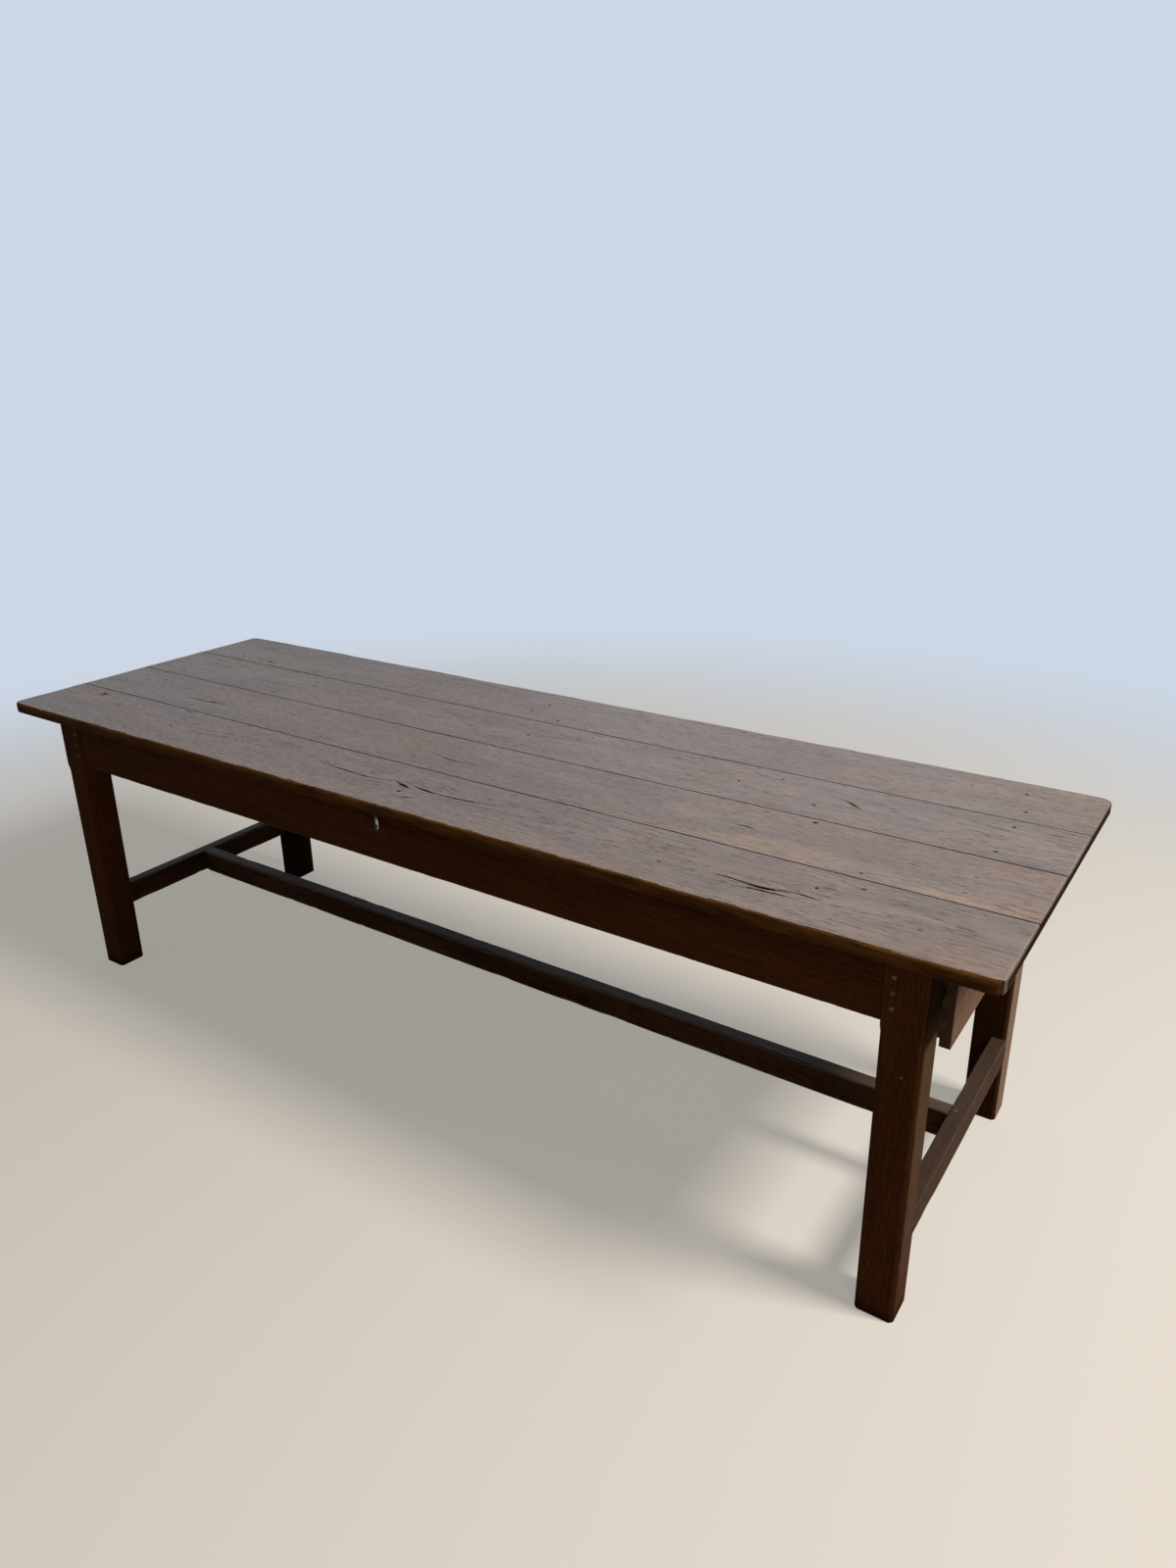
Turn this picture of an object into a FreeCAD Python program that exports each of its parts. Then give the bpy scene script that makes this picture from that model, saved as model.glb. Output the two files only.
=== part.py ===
import FreeCAD, Part
import math
import os

from FreeCAD import Vector

os.makedirs("parts", exist_ok=True)

# A long farmhouse table of dark oak: four planks on a pegged frame, square chamfered legs,
# low stretchers in the shape of an H, and one drawer hung in the right-hand end.
# The origin is on the floor under the middle of the top. +X points to the end with the drawer,
# +Y to the back and +Z up. All sizes are in millimetres. While the parts are made, Y counts from the
# middle of the frame; the last step moves them all so that it counts from the middle of the top.

# Top
table_height = 740.0
top_length = 2450.0
top_width = 780.0
top_thickness = 26.0
# The middle seam lies a little in front of the centre line
middle_seam = -2.0
front_middle_plank_width = 190.0
back_middle_plank_width = 191.0
plank_gap = 1.6
tongue_thickness = 8.0
tongue_reach = 9.0
groove_gap = 1.0
top_corner_radius = 12.0
top_arris_radius = 6.0

# Legs
leg_block = 73.0
leg_foot = 70.0
leg_end_inset = 110.0
# The frame stands a little behind the middle of the top
leg_front_inset = 50.0
leg_back_inset = 26.0
leg_chamfer = 6.0
leg_arris = 0.5
chamfer_below_rail = 3.0
chamfer_run = 22.0

# Side rails and end rail
rail_height = 130.0
rail_thickness = 26.0
rail_setback = 3.0
tenon_thickness = 12.0
tenon_length = 46.0
tenon_shoulder = 12.0
mortise_end_gap = 2.0

# Cross bearer under the planks
bearer_place = 40.0
bearer_height = 60.0
bearer_thickness = 30.0
bearer_tenon_length = 14.0

# Stretchers
stretcher_bottom = 146.0
stretcher_height = 60.0
end_stretcher_thickness = 30.0
long_stretcher_thickness = 34.0
stretcher_shoulder = 9.0
long_tenon_length = 20.0

# Oak pegs, square and set diamond-wise
peg_side = 9.0
peg_length = 48.0
peg_proud = 0.8
peg_from_shoulder = 16.0
side_rail_peg_heights = (28.0, 55.0, 83.0)
end_rail_peg_heights = (42.0, 69.0)
long_peg_side = 8.0
long_peg_length = 44.0
long_peg_from_shoulder = 10.0

# Forged nails through the planks
nail_head_radius = 5.0
nail_head_thickness = 2.5
nail_shank_radius = 2.0
nail_length = 44.0
nail_room = 0.1
# Distances of the nails behind the front, middle and back seams, over the end rails and the cross bearer
end_nails_from_seams = ((42.0, 108.0), (35.0, 157.0), (49.0,))
bearer_nails_from_seams = ((-33.0, 92.0), (103.0,), (28.0,))

# Plug in an old hole of the front right leg
plug_radius = 4.5
plug_depth = 16.0
plug_below_rail = 88.5
plug_from_outer_face = 30.5

# Iron angle that ties the top to the front rail
angle_place = -16.0
angle_width = 10.0
angle_thickness = 3.0
angle_drop = 62.0
angle_reach = 40.0
angle_screw_from_end = 11.0
screw_head_radius = 3.6
screw_head_thickness = 1.4
screw_shank_radius = 1.9
screw_length = 20.0

# Drawer
drawer_open_at_rest = 20.0
drawer_rail_height = 30.0
drawer_rail_shoulder = 5.0
drawer_top_gap = 3.0
drawer_side_gap = 1.2
drawer_front_height = 159.0
drawer_front_thickness = 19.0
drawer_length = 520.0
drawer_side_thickness = 20.0
drawer_side_lift = 16.0
drawer_side_height = 134.0
drawer_back_thickness = 18.0
drawer_back_drop = 12.0
housing_depth = 5.0
bottom_thickness = 9.0
bottom_lift = 12.0
bottom_groove = 6.0
bottom_front_board = 262.0
dovetail_count = 3
dovetail_length = 12.0
dovetail_root = 22.0
dovetail_flare = 4.0
drawer_nail_head_radius = 3.0
drawer_nail_head_thickness = 1.5
drawer_nail_shank_radius = 1.4
drawer_nail_length = 36.0
drawer_nail_inset = 22.0
knob_stem_radius = 7.0
knob_stem_room = 0.2
knob_collar_radius = 12.0
knob_collar_length = 3.0
knob_neck_radius = 9.0
knob_neck_length = 9.0
knob_head_radius = 17.5
knob_rim_length = 6.0
knob_dome_length = 10.0

# Bearers that carry the drawer by a groove in each side
hanger_drop = 82.0
hanger_height = 22.0
hanger_tongue = 12.0
hanger_front_gap = 1.0
hanger_tail = 30.0
hanger_running_gap = 0.3
hanger_under_gap = 0.6
hanger_side_gap = 1.0
hanger_nail_length = 70.0
hanger_nail_inset = 99.0
stop_length = 20.0
stop_height = 30.0
stop_gap = 0.5

# Places worked out from the sizes above
underside = table_height - top_thickness
top_middle = (leg_back_inset - leg_front_inset) / 2
top_front = top_middle - top_width / 2
top_back = top_middle + top_width / 2
seam_y = top_middle + middle_seam
plank_edges = [top_front, seam_y - front_middle_plank_width, seam_y, seam_y + back_middle_plank_width, top_back]
leg_outer_x = top_length / 2 - leg_end_inset
leg_outer_y = (top_width - leg_front_inset - leg_back_inset) / 2
leg_inner_x = leg_outer_x - leg_block
leg_inner_y = leg_outer_y - leg_block
rail_bottom = underside - rail_height
rail_outer_x = leg_outer_x - rail_setback
rail_outer_y = leg_outer_y - rail_setback
rail_inner_y = rail_outer_y - rail_thickness
rail_middle_x = rail_outer_x - rail_thickness / 2
block_bottom = rail_bottom - chamfer_below_rail
stretcher_top = stretcher_bottom + stretcher_height
stretcher_middle_z = stretcher_bottom + stretcher_height / 2
end_stretcher_inner_x = leg_outer_x - end_stretcher_thickness
drawer_closed_face = leg_outer_x
drawer_face = drawer_closed_face + drawer_open_at_rest
drawer_front_back = drawer_face - drawer_front_thickness
drawer_end = drawer_front_back - drawer_length
drawer_half_width = leg_inner_y - drawer_side_gap
drawer_inner_half = drawer_half_width - drawer_side_thickness
drawer_front_top = underside - drawer_rail_height - drawer_top_gap
drawer_front_bottom = drawer_front_top - drawer_front_height
drawer_side_bottom = drawer_front_bottom + drawer_side_lift
drawer_side_top = drawer_side_bottom + drawer_side_height
bottom_low = drawer_side_bottom + bottom_lift
bottom_high = bottom_low + bottom_thickness
drawer_closed_end = drawer_end - drawer_open_at_rest
hanger_front = drawer_front_back - drawer_open_at_rest - hanger_front_gap
hanger_back = drawer_closed_end - hanger_tail
hanger_inner_y = leg_inner_y - hanger_tongue
hanger_top = underside - hanger_drop
hanger_bottom = hanger_top - hanger_height


def box(x0, x1, y0, y1, z0, z1):
    """A box between two corners, given axis by axis."""
    return Part.makeBox(x1 - x0, y1 - y0, z1 - z0, Vector(x0, y0, z0))


def bar(axis, along, across, heights):
    """A box that lies along X or Y, from pairs of limits along it, across it and in height."""
    if axis == "x":
        return box(*along, *across, *heights)
    return box(*across, *along, *heights)


def joined(shapes):
    """Several touching shapes as one solid, without the seams between them."""
    return shapes[0].multiFuse(shapes[1:]).removeSplitter()


def group(solids):
    """Separate solids kept side by side in one shape."""
    return Part.makeCompound(solids)


def middle_band(limits, size):
    """Limits of a band of the given size, centred between two limits."""
    middle = sum(limits) / 2
    return (middle - size / 2, middle + size / 2)


def tenoned_bar(axis, along, across, heights, reach, shoulder):
    """A bar with a tenon at each end, and a longer bar that cuts the mortises for both tenons."""
    thickness = middle_band(across, tenon_thickness)
    tenon_heights = (heights[0] + shoulder, heights[1] - shoulder)
    tenons = bar(axis, (along[0] - reach, along[1] + reach), thickness, tenon_heights)
    deep = reach + mortise_end_gap
    mortises = bar(axis, (along[0] - deep, along[1] + deep), thickness, tenon_heights)
    return joined([bar(axis, along, across, heights), tenons]), mortises


def peg(start, direction, side, length):
    """A square peg set diamond-wise that runs from a point along a direction."""
    up = Vector(1, 0, 0) if direction.z else Vector(0, 0, 1)
    aside = direction.cross(up)
    half = side / math.sqrt(2)
    corners = [start + up * half, start + aside * half, start - up * half, start - aside * half]
    return Part.Face(Part.makePolygon(corners + corners[:1])).extrude(direction * length)


def headed(start, direction, head, shank, length, room=0.0):
    """A nail or screw with a round flat head; head and shank are (radius, thickness) and radius."""
    head_radius, head_thickness = head
    top = Part.makeCylinder(head_radius + room, head_thickness, start, direction)
    stem = Part.makeCylinder(shank + room, length, start, direction)
    return joined([top, stem])


# Top planks
def top_board():
    """The whole top as one board with rounded corners and arrises."""
    board = box(-top_length / 2, top_length / 2, top_front, top_back, underside, table_height)
    upright = [e for e in board.Edges if abs(e.BoundBox.ZLength - top_thickness) < 1e-6]
    board = board.makeFillet(top_corner_radius, upright)
    level = [e for e in board.Edges if e.BoundBox.ZLength < 1e-6]
    return board.makeFillet(top_arris_radius, level)


def planks(board):
    """The four planks, each with a tongue along its back edge and a groove along its front edge."""
    last = len(plank_edges) - 2
    far = top_length / 2
    tongue_heights = middle_band((underside, table_height), tongue_thickness)
    made = []
    for index in range(last + 1):
        low = plank_edges[index] + (plank_gap / 2 if index else 0)
        high = plank_edges[index + 1] - (plank_gap / 2 if index < last else 0)
        plank = board.common(box(-far, far, low, high, underside, table_height))
        if index < last:
            tongue = box(-far, far, high, high + tongue_reach, *tongue_heights)
            plank = joined([plank, board.common(tongue)])
        if index:
            depth = tongue_reach - plank_gap + groove_gap
            plank = plank.cut(box(-far, far, low, low + depth, *tongue_heights))
        made.append(plank)
    return made


def top_nail_places():
    """Where the planks are nailed: to both end rails, the cross bearer and the heads of the legs."""
    seams = plank_edges[1:-1]
    rows = [(-rail_middle_x, end_nails_from_seams), (rail_middle_x, end_nails_from_seams),
            (bearer_place, bearer_nails_from_seams)]
    places = [(x, seam + distance) for x, row in rows
              for seam, distances in zip(seams, row) for distance in distances]
    leg_x = leg_outer_x - leg_block / 2
    leg_y = leg_outer_y - leg_block / 2
    places += [(sx * leg_x, sy * leg_y) for sx in (-1, 1) for sy in (-1, 1)]
    return places


def top_nails(room=0.0):
    """The nails, or with room around them the holes that they need."""
    head = (nail_head_radius, nail_head_thickness)
    down = Vector(0, 0, -1)
    return [headed(Vector(x, y, table_height), down, head, nail_shank_radius, nail_length, room)
            for x, y in top_nail_places()]


# Legs
def leg_outline(sx, sy, size, chamfer, z):
    """Outline of a leg at height z: a square on the leg's outer corner with its corners cut off."""
    near = chamfer
    far = size - chamfer
    corners = [(0, near), (near, 0), (far, 0), (size, near), (size, far), (far, size), (near, size), (0, far)]
    points = [Vector(sx * (leg_outer_x - u), sy * (leg_outer_y - v), z) for u, v in corners]
    return Part.makePolygon(points + points[:1])


def leg_size(z):
    """Side of the leg at height z: full in the block, and less towards the foot on the inner faces."""
    return leg_foot + (leg_block - leg_foot) * min(1.0, z / block_bottom)


def leg(sx, sy):
    """One leg without its mortises: a square block, a run-out and a tapered chamfered shaft."""
    run_bottom = block_bottom - chamfer_run
    outlines = [
        leg_outline(sx, sy, leg_block, leg_arris, underside),
        leg_outline(sx, sy, leg_block, leg_arris, block_bottom),
        leg_outline(sx, sy, leg_size(run_bottom), leg_chamfer, run_bottom),
        leg_outline(sx, sy, leg_foot, leg_chamfer, 0.0),
    ]
    lengths = [Part.makeLoft(list(pair), True, True) for pair in zip(outlines, outlines[1:])]
    return joined(lengths)


# Pegs of the mortise and tenon joints
def side_rail_pegs(sy):
    """Three pegs at each end of a side rail, driven in from the leg's long side."""
    start_y = sy * (leg_outer_y + peg_proud)
    place_x = leg_inner_x + peg_from_shoulder
    return [peg(Vector(sx * place_x, start_y, rail_bottom + z), Vector(0, -sy, 0), peg_side, peg_length)
            for sx in (-1, 1) for z in side_rail_peg_heights]


def end_pegs(sx, heights):
    """Pegs driven in from the table's end, through the tenons of an end rail or an end stretcher."""
    start_x = sx * (leg_outer_x + peg_proud)
    place_y = leg_inner_y + peg_from_shoulder
    return [peg(Vector(start_x, sy * place_y, z), Vector(-sx, 0, 0), peg_side, peg_length)
            for sy in (-1, 1) for z in heights]


def long_stretcher_pegs():
    """One upright peg through each end stretcher and the tenon of the long stretcher."""
    place_x = end_stretcher_inner_x + long_peg_from_shoulder
    return [peg(Vector(sx * place_x, 0, stretcher_top + peg_proud),
                Vector(0, 0, -1), long_peg_side, long_peg_length)
            for sx in (-1, 1)]


# Iron angle
def iron_angle():
    """A bent iron strap: one leaf down the face of the front rail, the other under the top."""
    strap = (angle_place - angle_width / 2, angle_place + angle_width / 2)
    face = -rail_outer_y
    leaf_down = box(*strap, face - angle_thickness, face, underside - angle_drop, underside)
    leaf_out = box(*strap, face - angle_reach, face, underside - angle_thickness, underside)
    return joined([leaf_down, leaf_out])


def angle_screws(room=0.0):
    """Two screws in the leaf on the rail and one in the leaf under the top, seated on the iron."""
    head = (screw_head_radius, screw_head_thickness)
    face = -rail_outer_y - angle_thickness - screw_head_thickness
    low = underside - angle_drop + angle_screw_from_end
    high = underside - angle_thickness - 2 * angle_screw_from_end
    rail_screws = [headed(Vector(angle_place, face, z), Vector(0, 1, 0), head,
                          screw_shank_radius, screw_length, room)
                   for z in (low, high)]
    below = underside - angle_thickness - screw_head_thickness
    out = Vector(angle_place, -rail_outer_y - angle_reach + angle_screw_from_end, below)
    top_screw = headed(out, Vector(0, 0, 1), head, screw_shank_radius, screw_length, room)
    return rail_screws + [top_screw]


# Drawer
def dovetails(sy):
    """The tails on the front end of a drawer side, wider at their tips, spread over its height."""
    inner, outer = sorted((sy * drawer_inner_half, sy * drawer_half_width))
    pitch = drawer_side_height / dovetail_count
    root = dovetail_root / 2
    tip = root + dovetail_flare
    tails = []
    for index in range(dovetail_count):
        z = drawer_side_bottom + pitch * (index + 0.5)
        corners = [Vector(drawer_front_back, inner, z - root),
                   Vector(drawer_front_back + dovetail_length, inner, z - tip),
                   Vector(drawer_front_back + dovetail_length, inner, z + tip),
                   Vector(drawer_front_back, inner, z + root)]
        face = Part.Face(Part.makePolygon(corners + corners[:1]))
        tails.append(face.extrude(Vector(0, outer - inner, 0)))
    return tails


def bottom_panel():
    """The space of the drawer's bottom, held in grooves of the front and the sides."""
    half = drawer_inner_half + bottom_groove
    return box(drawer_end, drawer_front_back + bottom_groove, -half, half, bottom_low, bottom_high)


def drawer_back():
    """The back board, let into housings in both sides, standing on the bottom."""
    half = drawer_inner_half + housing_depth
    top = drawer_side_top - drawer_back_drop
    return box(drawer_end, drawer_end + drawer_back_thickness, -half, half, bottom_high, top)


def drawer_side(sy, back):
    """A drawer side with its tails, its grooves for bottom and bearer, and the housing for the back."""
    outer = sy * drawer_half_width
    inner = sy * drawer_inner_half
    side = box(drawer_end, drawer_front_back, *sorted((inner, outer)), drawer_side_bottom, drawer_side_top)
    groove_bed = sy * (hanger_inner_y - hanger_side_gap)
    groove = box(drawer_end, drawer_front_back, *sorted((groove_bed, outer)),
                 hanger_bottom - hanger_under_gap, hanger_top + hanger_running_gap)
    return joined([side.cut(groove).cut(back)] + dovetails(sy)).cut(bottom_panel())


def drawer_front(tails, stem_hole):
    """The front board, cut for the tails of the sides, the bottom's groove and the knob."""
    front = box(drawer_front_back, drawer_face, -drawer_half_width, drawer_half_width,
                drawer_front_bottom, drawer_front_top)
    for cutter in tails + [bottom_panel(), stem_hole]:
        front = front.cut(cutter)
    return front


def knob_axis_start():
    """The point on the drawer's face where the knob's collar sits."""
    return Vector(drawer_face, 0, (drawer_front_top + drawer_front_bottom) / 2)


def drawer_knob():
    """A turned knob: a stem through the front, a collar, a hollow neck and a domed head."""
    neck_end = knob_collar_length + knob_neck_length
    rim_x = neck_end + knob_rim_length
    crown_x = rim_x + knob_dome_length
    start = Vector(-drawer_front_thickness, 0, 0)
    stem = [start, Vector(-drawer_front_thickness, knob_stem_radius, 0), Vector(0, knob_stem_radius, 0),
            Vector(0, knob_collar_radius, 0), Vector(knob_collar_length, knob_collar_radius, 0)]
    edges = [Part.makeLine(a, b) for a, b in zip(stem, stem[1:])]
    neck_middle = Vector((knob_collar_length + neck_end) / 2, knob_neck_radius, 0)
    head_start = Vector(neck_end, knob_collar_radius, 0)
    edges.append(Part.Arc(stem[-1], neck_middle, head_start).toShape())
    rim = Vector(rim_x, knob_head_radius, 0)
    edges.append(Part.makeLine(head_start, rim))
    # The dome is an arc whose centre lies on the knob's axis
    centre = (crown_x ** 2 - rim_x ** 2 - knob_head_radius ** 2) / (2 * knob_dome_length)
    radius = crown_x - centre
    half_angle = math.atan2(knob_head_radius, rim_x - centre) / 2
    shoulder = Vector(centre + radius * math.cos(half_angle), radius * math.sin(half_angle), 0)
    crown = Vector(crown_x, 0, 0)
    edges.append(Part.Arc(rim, shoulder, crown).toShape())
    edges.append(Part.makeLine(crown, start))
    knob = Part.Face(Part.Wire(edges)).revolve(Vector(0, 0, 0), Vector(1, 0, 0), 360)
    knob.translate(knob_axis_start())
    return knob


def drawer_nails(room=0.0):
    """Nails through the sides into the ends of the back board, clear of the bearer's groove."""
    head = (drawer_nail_head_radius, drawer_nail_head_thickness)
    place_x = drawer_end + drawer_back_thickness / 2
    heights = (bottom_high + drawer_nail_inset, drawer_side_top - drawer_nail_inset)
    return [headed(Vector(place_x, sy * drawer_half_width, z), Vector(0, -sy, 0), head,
                   drawer_nail_shank_radius, drawer_nail_length, room)
            for sy in (-1, 1) for z in heights]


# Bearers of the drawer
def drawer_hanger(sy):
    """A bearer nailed to the side rail and notched round the leg, whose edge runs in the drawer's groove."""
    heights = (hanger_bottom, hanger_top)
    beside_rail = box(hanger_back, leg_inner_x, *sorted((sy * hanger_inner_y, sy * rail_inner_y)), *heights)
    along_leg = box(leg_inner_x, hanger_front, *sorted((sy * hanger_inner_y, sy * leg_inner_y)), *heights)
    return joined([beside_rail, along_leg])


def drawer_stop(sy):
    """A block on the tail of the bearer that the closed drawer meets."""
    front = drawer_closed_end - stop_gap
    across = sorted((sy * drawer_inner_half, sy * rail_inner_y))
    return box(front - stop_length, front, *across, hanger_top, hanger_top + stop_height)


def hanger_nails(room=0.0):
    """Nails through each bearer into its side rail: one near each end and one between them."""
    head = (drawer_nail_head_radius, drawer_nail_head_thickness)
    first = hanger_back + hanger_nail_inset
    last = leg_inner_x - hanger_nail_inset
    middle_z = hanger_bottom + hanger_height / 2
    return [headed(Vector(x, sy * hanger_inner_y, middle_z), Vector(0, sy, 0),
                   head, drawer_nail_shank_radius, hanger_nail_length, room)
            for sy in (-1, 1) for x in (first, (first + last) / 2, last)]


# End stretchers
def end_stretcher(sx):
    """A stretcher whose shoulders are scribed to the tapered legs, and the bar that cuts its mortises."""
    across = sorted((sx * leg_outer_x, sx * end_stretcher_inner_x))
    body = bar("y", (-leg_outer_y, leg_outer_y), across, stretcher_heights)
    for sy in (-1, 1):
        body = body.cut(legs[sx, sy])
    between_legs = max(body.Solids, key=lambda solid: solid.Volume)
    straight, mortises = tenoned_bar(
        "y", end_span, across, stretcher_heights, tenon_length, stretcher_shoulder)
    return joined([between_legs, straight]).cut(long_mortises), mortises


# Frame bars and the mortises that they need
rail_heights = (rail_bottom, underside)
side_span = (-leg_inner_x, leg_inner_x)
end_span = (-leg_inner_y, leg_inner_y)
front_rail, front_mortises = tenoned_bar(
    "x", side_span, (-rail_outer_y, -rail_inner_y), rail_heights, tenon_length, tenon_shoulder)
back_rail, back_mortises = tenoned_bar(
    "x", side_span, (rail_inner_y, rail_outer_y), rail_heights, tenon_length, tenon_shoulder)
left_end_rail, left_mortises = tenoned_bar(
    "y", end_span, (-rail_outer_x, -rail_outer_x + rail_thickness),
    rail_heights, tenon_length, tenon_shoulder)
drawer_rail, drawer_rail_mortises = tenoned_bar(
    "y", end_span, (rail_outer_x - rail_thickness, rail_outer_x),
    (underside - drawer_rail_height, underside), tenon_length, drawer_rail_shoulder)
cross_bearer, bearer_mortises = tenoned_bar(
    "y", (-rail_inner_y, rail_inner_y), middle_band((bearer_place, bearer_place), bearer_thickness),
    (underside - bearer_height, underside), bearer_tenon_length, tenon_shoulder)
stretcher_heights = (stretcher_bottom, stretcher_top)
stretcher_long, long_mortises = tenoned_bar(
    "x", (-end_stretcher_inner_x, end_stretcher_inner_x),
    middle_band((0, 0), long_stretcher_thickness),
    stretcher_heights, long_tenon_length, stretcher_shoulder)

legs = {(sx, sy): leg(sx, sy) for sx in (-1, 1) for sy in (-1, 1)}
end_stretchers = {sx: end_stretcher(sx) for sx in (-1, 1)}

# Pegs, nails and screws, and the holes for them
rail_pegs = side_rail_pegs(-1) + side_rail_pegs(1)
rail_pegs += end_pegs(-1, [rail_bottom + height for height in end_rail_peg_heights])
stretcher_pegs = end_pegs(-1, [stretcher_middle_z]) + end_pegs(1, [stretcher_middle_z])
stretcher_pegs += long_stretcher_pegs()
plug_start = Vector(leg_outer_x - plug_from_outer_face, -leg_outer_y, rail_bottom - plug_below_rail)
plug = Part.makeCylinder(plug_radius, plug_depth, plug_start, Vector(0, 1, 0))
peg_holes = group(rail_pegs + stretcher_pegs)
nail_holes = group(top_nails(nail_room))
screw_holes = group(angle_screws(nail_room))
hanger_nail_holes = group(hanger_nails(nail_room))
drawer_nail_holes = group(drawer_nails(nail_room))

nodes = {}

plank_names = ("top_plank_front", "top_plank_front_middle", "top_plank_back_middle", "top_plank_back")
for name, plank in zip(plank_names, planks(top_board())):
    nodes[name] = plank.cut(nail_holes).cut(screw_holes)
nodes["top_nails"] = group(top_nails())

leg_mortises = group([front_mortises, back_mortises, left_mortises, drawer_rail_mortises])
for (sx, sy), shape in legs.items():
    side = "front" if sy < 0 else "back"
    end = "left" if sx < 0 else "right"
    shape = shape.cut(leg_mortises).cut(end_stretchers[sx][1]).cut(peg_holes).cut(nail_holes)
    nodes["leg_%s_%s" % (side, end)] = shape.cut(plug)
nodes["leg_plug"] = plug

nodes["rail_front"] = front_rail.cut(bearer_mortises).cut(peg_holes).cut(screw_holes).cut(hanger_nail_holes)
nodes["rail_back"] = back_rail.cut(bearer_mortises).cut(peg_holes).cut(hanger_nail_holes)
nodes["rail_left_end"] = left_end_rail.cut(peg_holes).cut(nail_holes)
nodes["rail_over_drawer"] = drawer_rail.cut(nail_holes)
nodes["cross_bearer"] = cross_bearer.cut(nail_holes)
nodes["rail_pegs"] = group(rail_pegs)

nodes["stretcher_left"] = end_stretchers[-1][0].cut(peg_holes)
nodes["stretcher_right"] = end_stretchers[1][0].cut(peg_holes)
nodes["stretcher_long"] = stretcher_long.cut(peg_holes)
nodes["stretcher_pegs"] = group(stretcher_pegs)

nodes["iron_angle"] = iron_angle().cut(screw_holes)
nodes["angle_screws"] = group(angle_screws())

back_board = drawer_back()
stem_hole = Part.makeCylinder(knob_stem_radius + knob_stem_room, drawer_front_thickness,
                              knob_axis_start(), Vector(-1, 0, 0))
panel = bottom_panel()
board_seam = drawer_front_back + bottom_groove - bottom_front_board
half_width = drawer_half_width
nodes["drawer_front"] = drawer_front(dovetails(-1) + dovetails(1), stem_hole)
nodes["drawer_side_left"] = drawer_side(-1, back_board).cut(drawer_nail_holes)
nodes["drawer_side_right"] = drawer_side(1, back_board).cut(drawer_nail_holes)
nodes["drawer_back"] = back_board.cut(drawer_nail_holes)
nodes["drawer_bottom_front_board"] = panel.common(
    box(board_seam, drawer_face, -half_width, half_width, bottom_low, bottom_high))
nodes["drawer_bottom_back_board"] = panel.common(
    box(drawer_end, board_seam, -half_width, half_width, bottom_low, bottom_high))
nodes["drawer_knob"] = drawer_knob()
nodes["drawer_nails"] = group(drawer_nails())

for sy, side in ((-1, "left"), (1, "right")):
    nodes["drawer_bearer_" + side] = drawer_hanger(sy).cut(hanger_nail_holes)
    nodes["drawer_stop_" + side] = drawer_stop(sy)
nodes["bearer_nails"] = group(hanger_nails())

for name, shape in nodes.items():
    shape.translate(Vector(0, -top_middle, 0))
    shape.exportStep("parts/%s.step" % name)
    print(name, "solids", len(shape.Solids), "volume", round(shape.Volume), "valid", shape.isValid())
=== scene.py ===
"""Looks of an old oak farmhouse table: worn planks nailed to a pegged frame, with a drawer in its right end.

Lengths are metres, and MM turns millimetres into them. +X points to the drawer, +Y to the back and +Z up.
"""
import itertools
import math

import bpy
import numpy as np
from mathutils import Matrix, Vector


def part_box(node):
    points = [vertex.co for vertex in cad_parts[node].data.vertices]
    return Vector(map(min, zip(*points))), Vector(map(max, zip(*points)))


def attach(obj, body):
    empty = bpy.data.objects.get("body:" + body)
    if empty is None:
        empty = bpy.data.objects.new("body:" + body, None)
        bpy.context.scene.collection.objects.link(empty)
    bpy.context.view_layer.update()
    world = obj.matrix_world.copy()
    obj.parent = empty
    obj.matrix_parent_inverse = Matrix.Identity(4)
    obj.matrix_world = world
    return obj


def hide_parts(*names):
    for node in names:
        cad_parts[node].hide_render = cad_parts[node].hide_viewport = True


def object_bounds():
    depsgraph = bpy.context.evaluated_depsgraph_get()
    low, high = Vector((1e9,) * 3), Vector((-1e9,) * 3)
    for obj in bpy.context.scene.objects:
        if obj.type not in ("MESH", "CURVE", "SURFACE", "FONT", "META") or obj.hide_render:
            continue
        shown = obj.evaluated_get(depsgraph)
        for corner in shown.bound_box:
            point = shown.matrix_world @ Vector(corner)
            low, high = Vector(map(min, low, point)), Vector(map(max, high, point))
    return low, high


MM = 0.001

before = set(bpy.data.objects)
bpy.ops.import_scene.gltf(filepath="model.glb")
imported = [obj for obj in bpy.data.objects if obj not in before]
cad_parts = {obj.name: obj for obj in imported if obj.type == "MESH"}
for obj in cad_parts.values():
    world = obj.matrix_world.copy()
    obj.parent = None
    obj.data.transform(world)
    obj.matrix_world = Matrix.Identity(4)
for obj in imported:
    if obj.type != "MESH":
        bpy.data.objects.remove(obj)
cad_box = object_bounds()

# Top
PLANKS = ("top_plank_front", "top_plank_front_middle", "top_plank_back_middle", "top_plank_back")
SEAM_GAP = 1.0 * MM
TONGUE_BRIDGE = 1.8 * MM
TONGUE_THICKNESS = 8 * MM
# Worn corners of the top: radius at the left and at the right end of the front and the back plank
CORNER_RADII = {"top_plank_front": (22 * MM, 16 * MM), "top_plank_back": (20 * MM, 24 * MM)}
END_BLEND = 6 * MM
SIDE_ARRIS = 5.2 * MM
END_ARRIS = 3.5 * MM
LOWER_ARRIS = 5 * MM
SEAM_ARRIS = 0.7 * MM
PLANK_HOLLOW = 0.5 * MM
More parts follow.
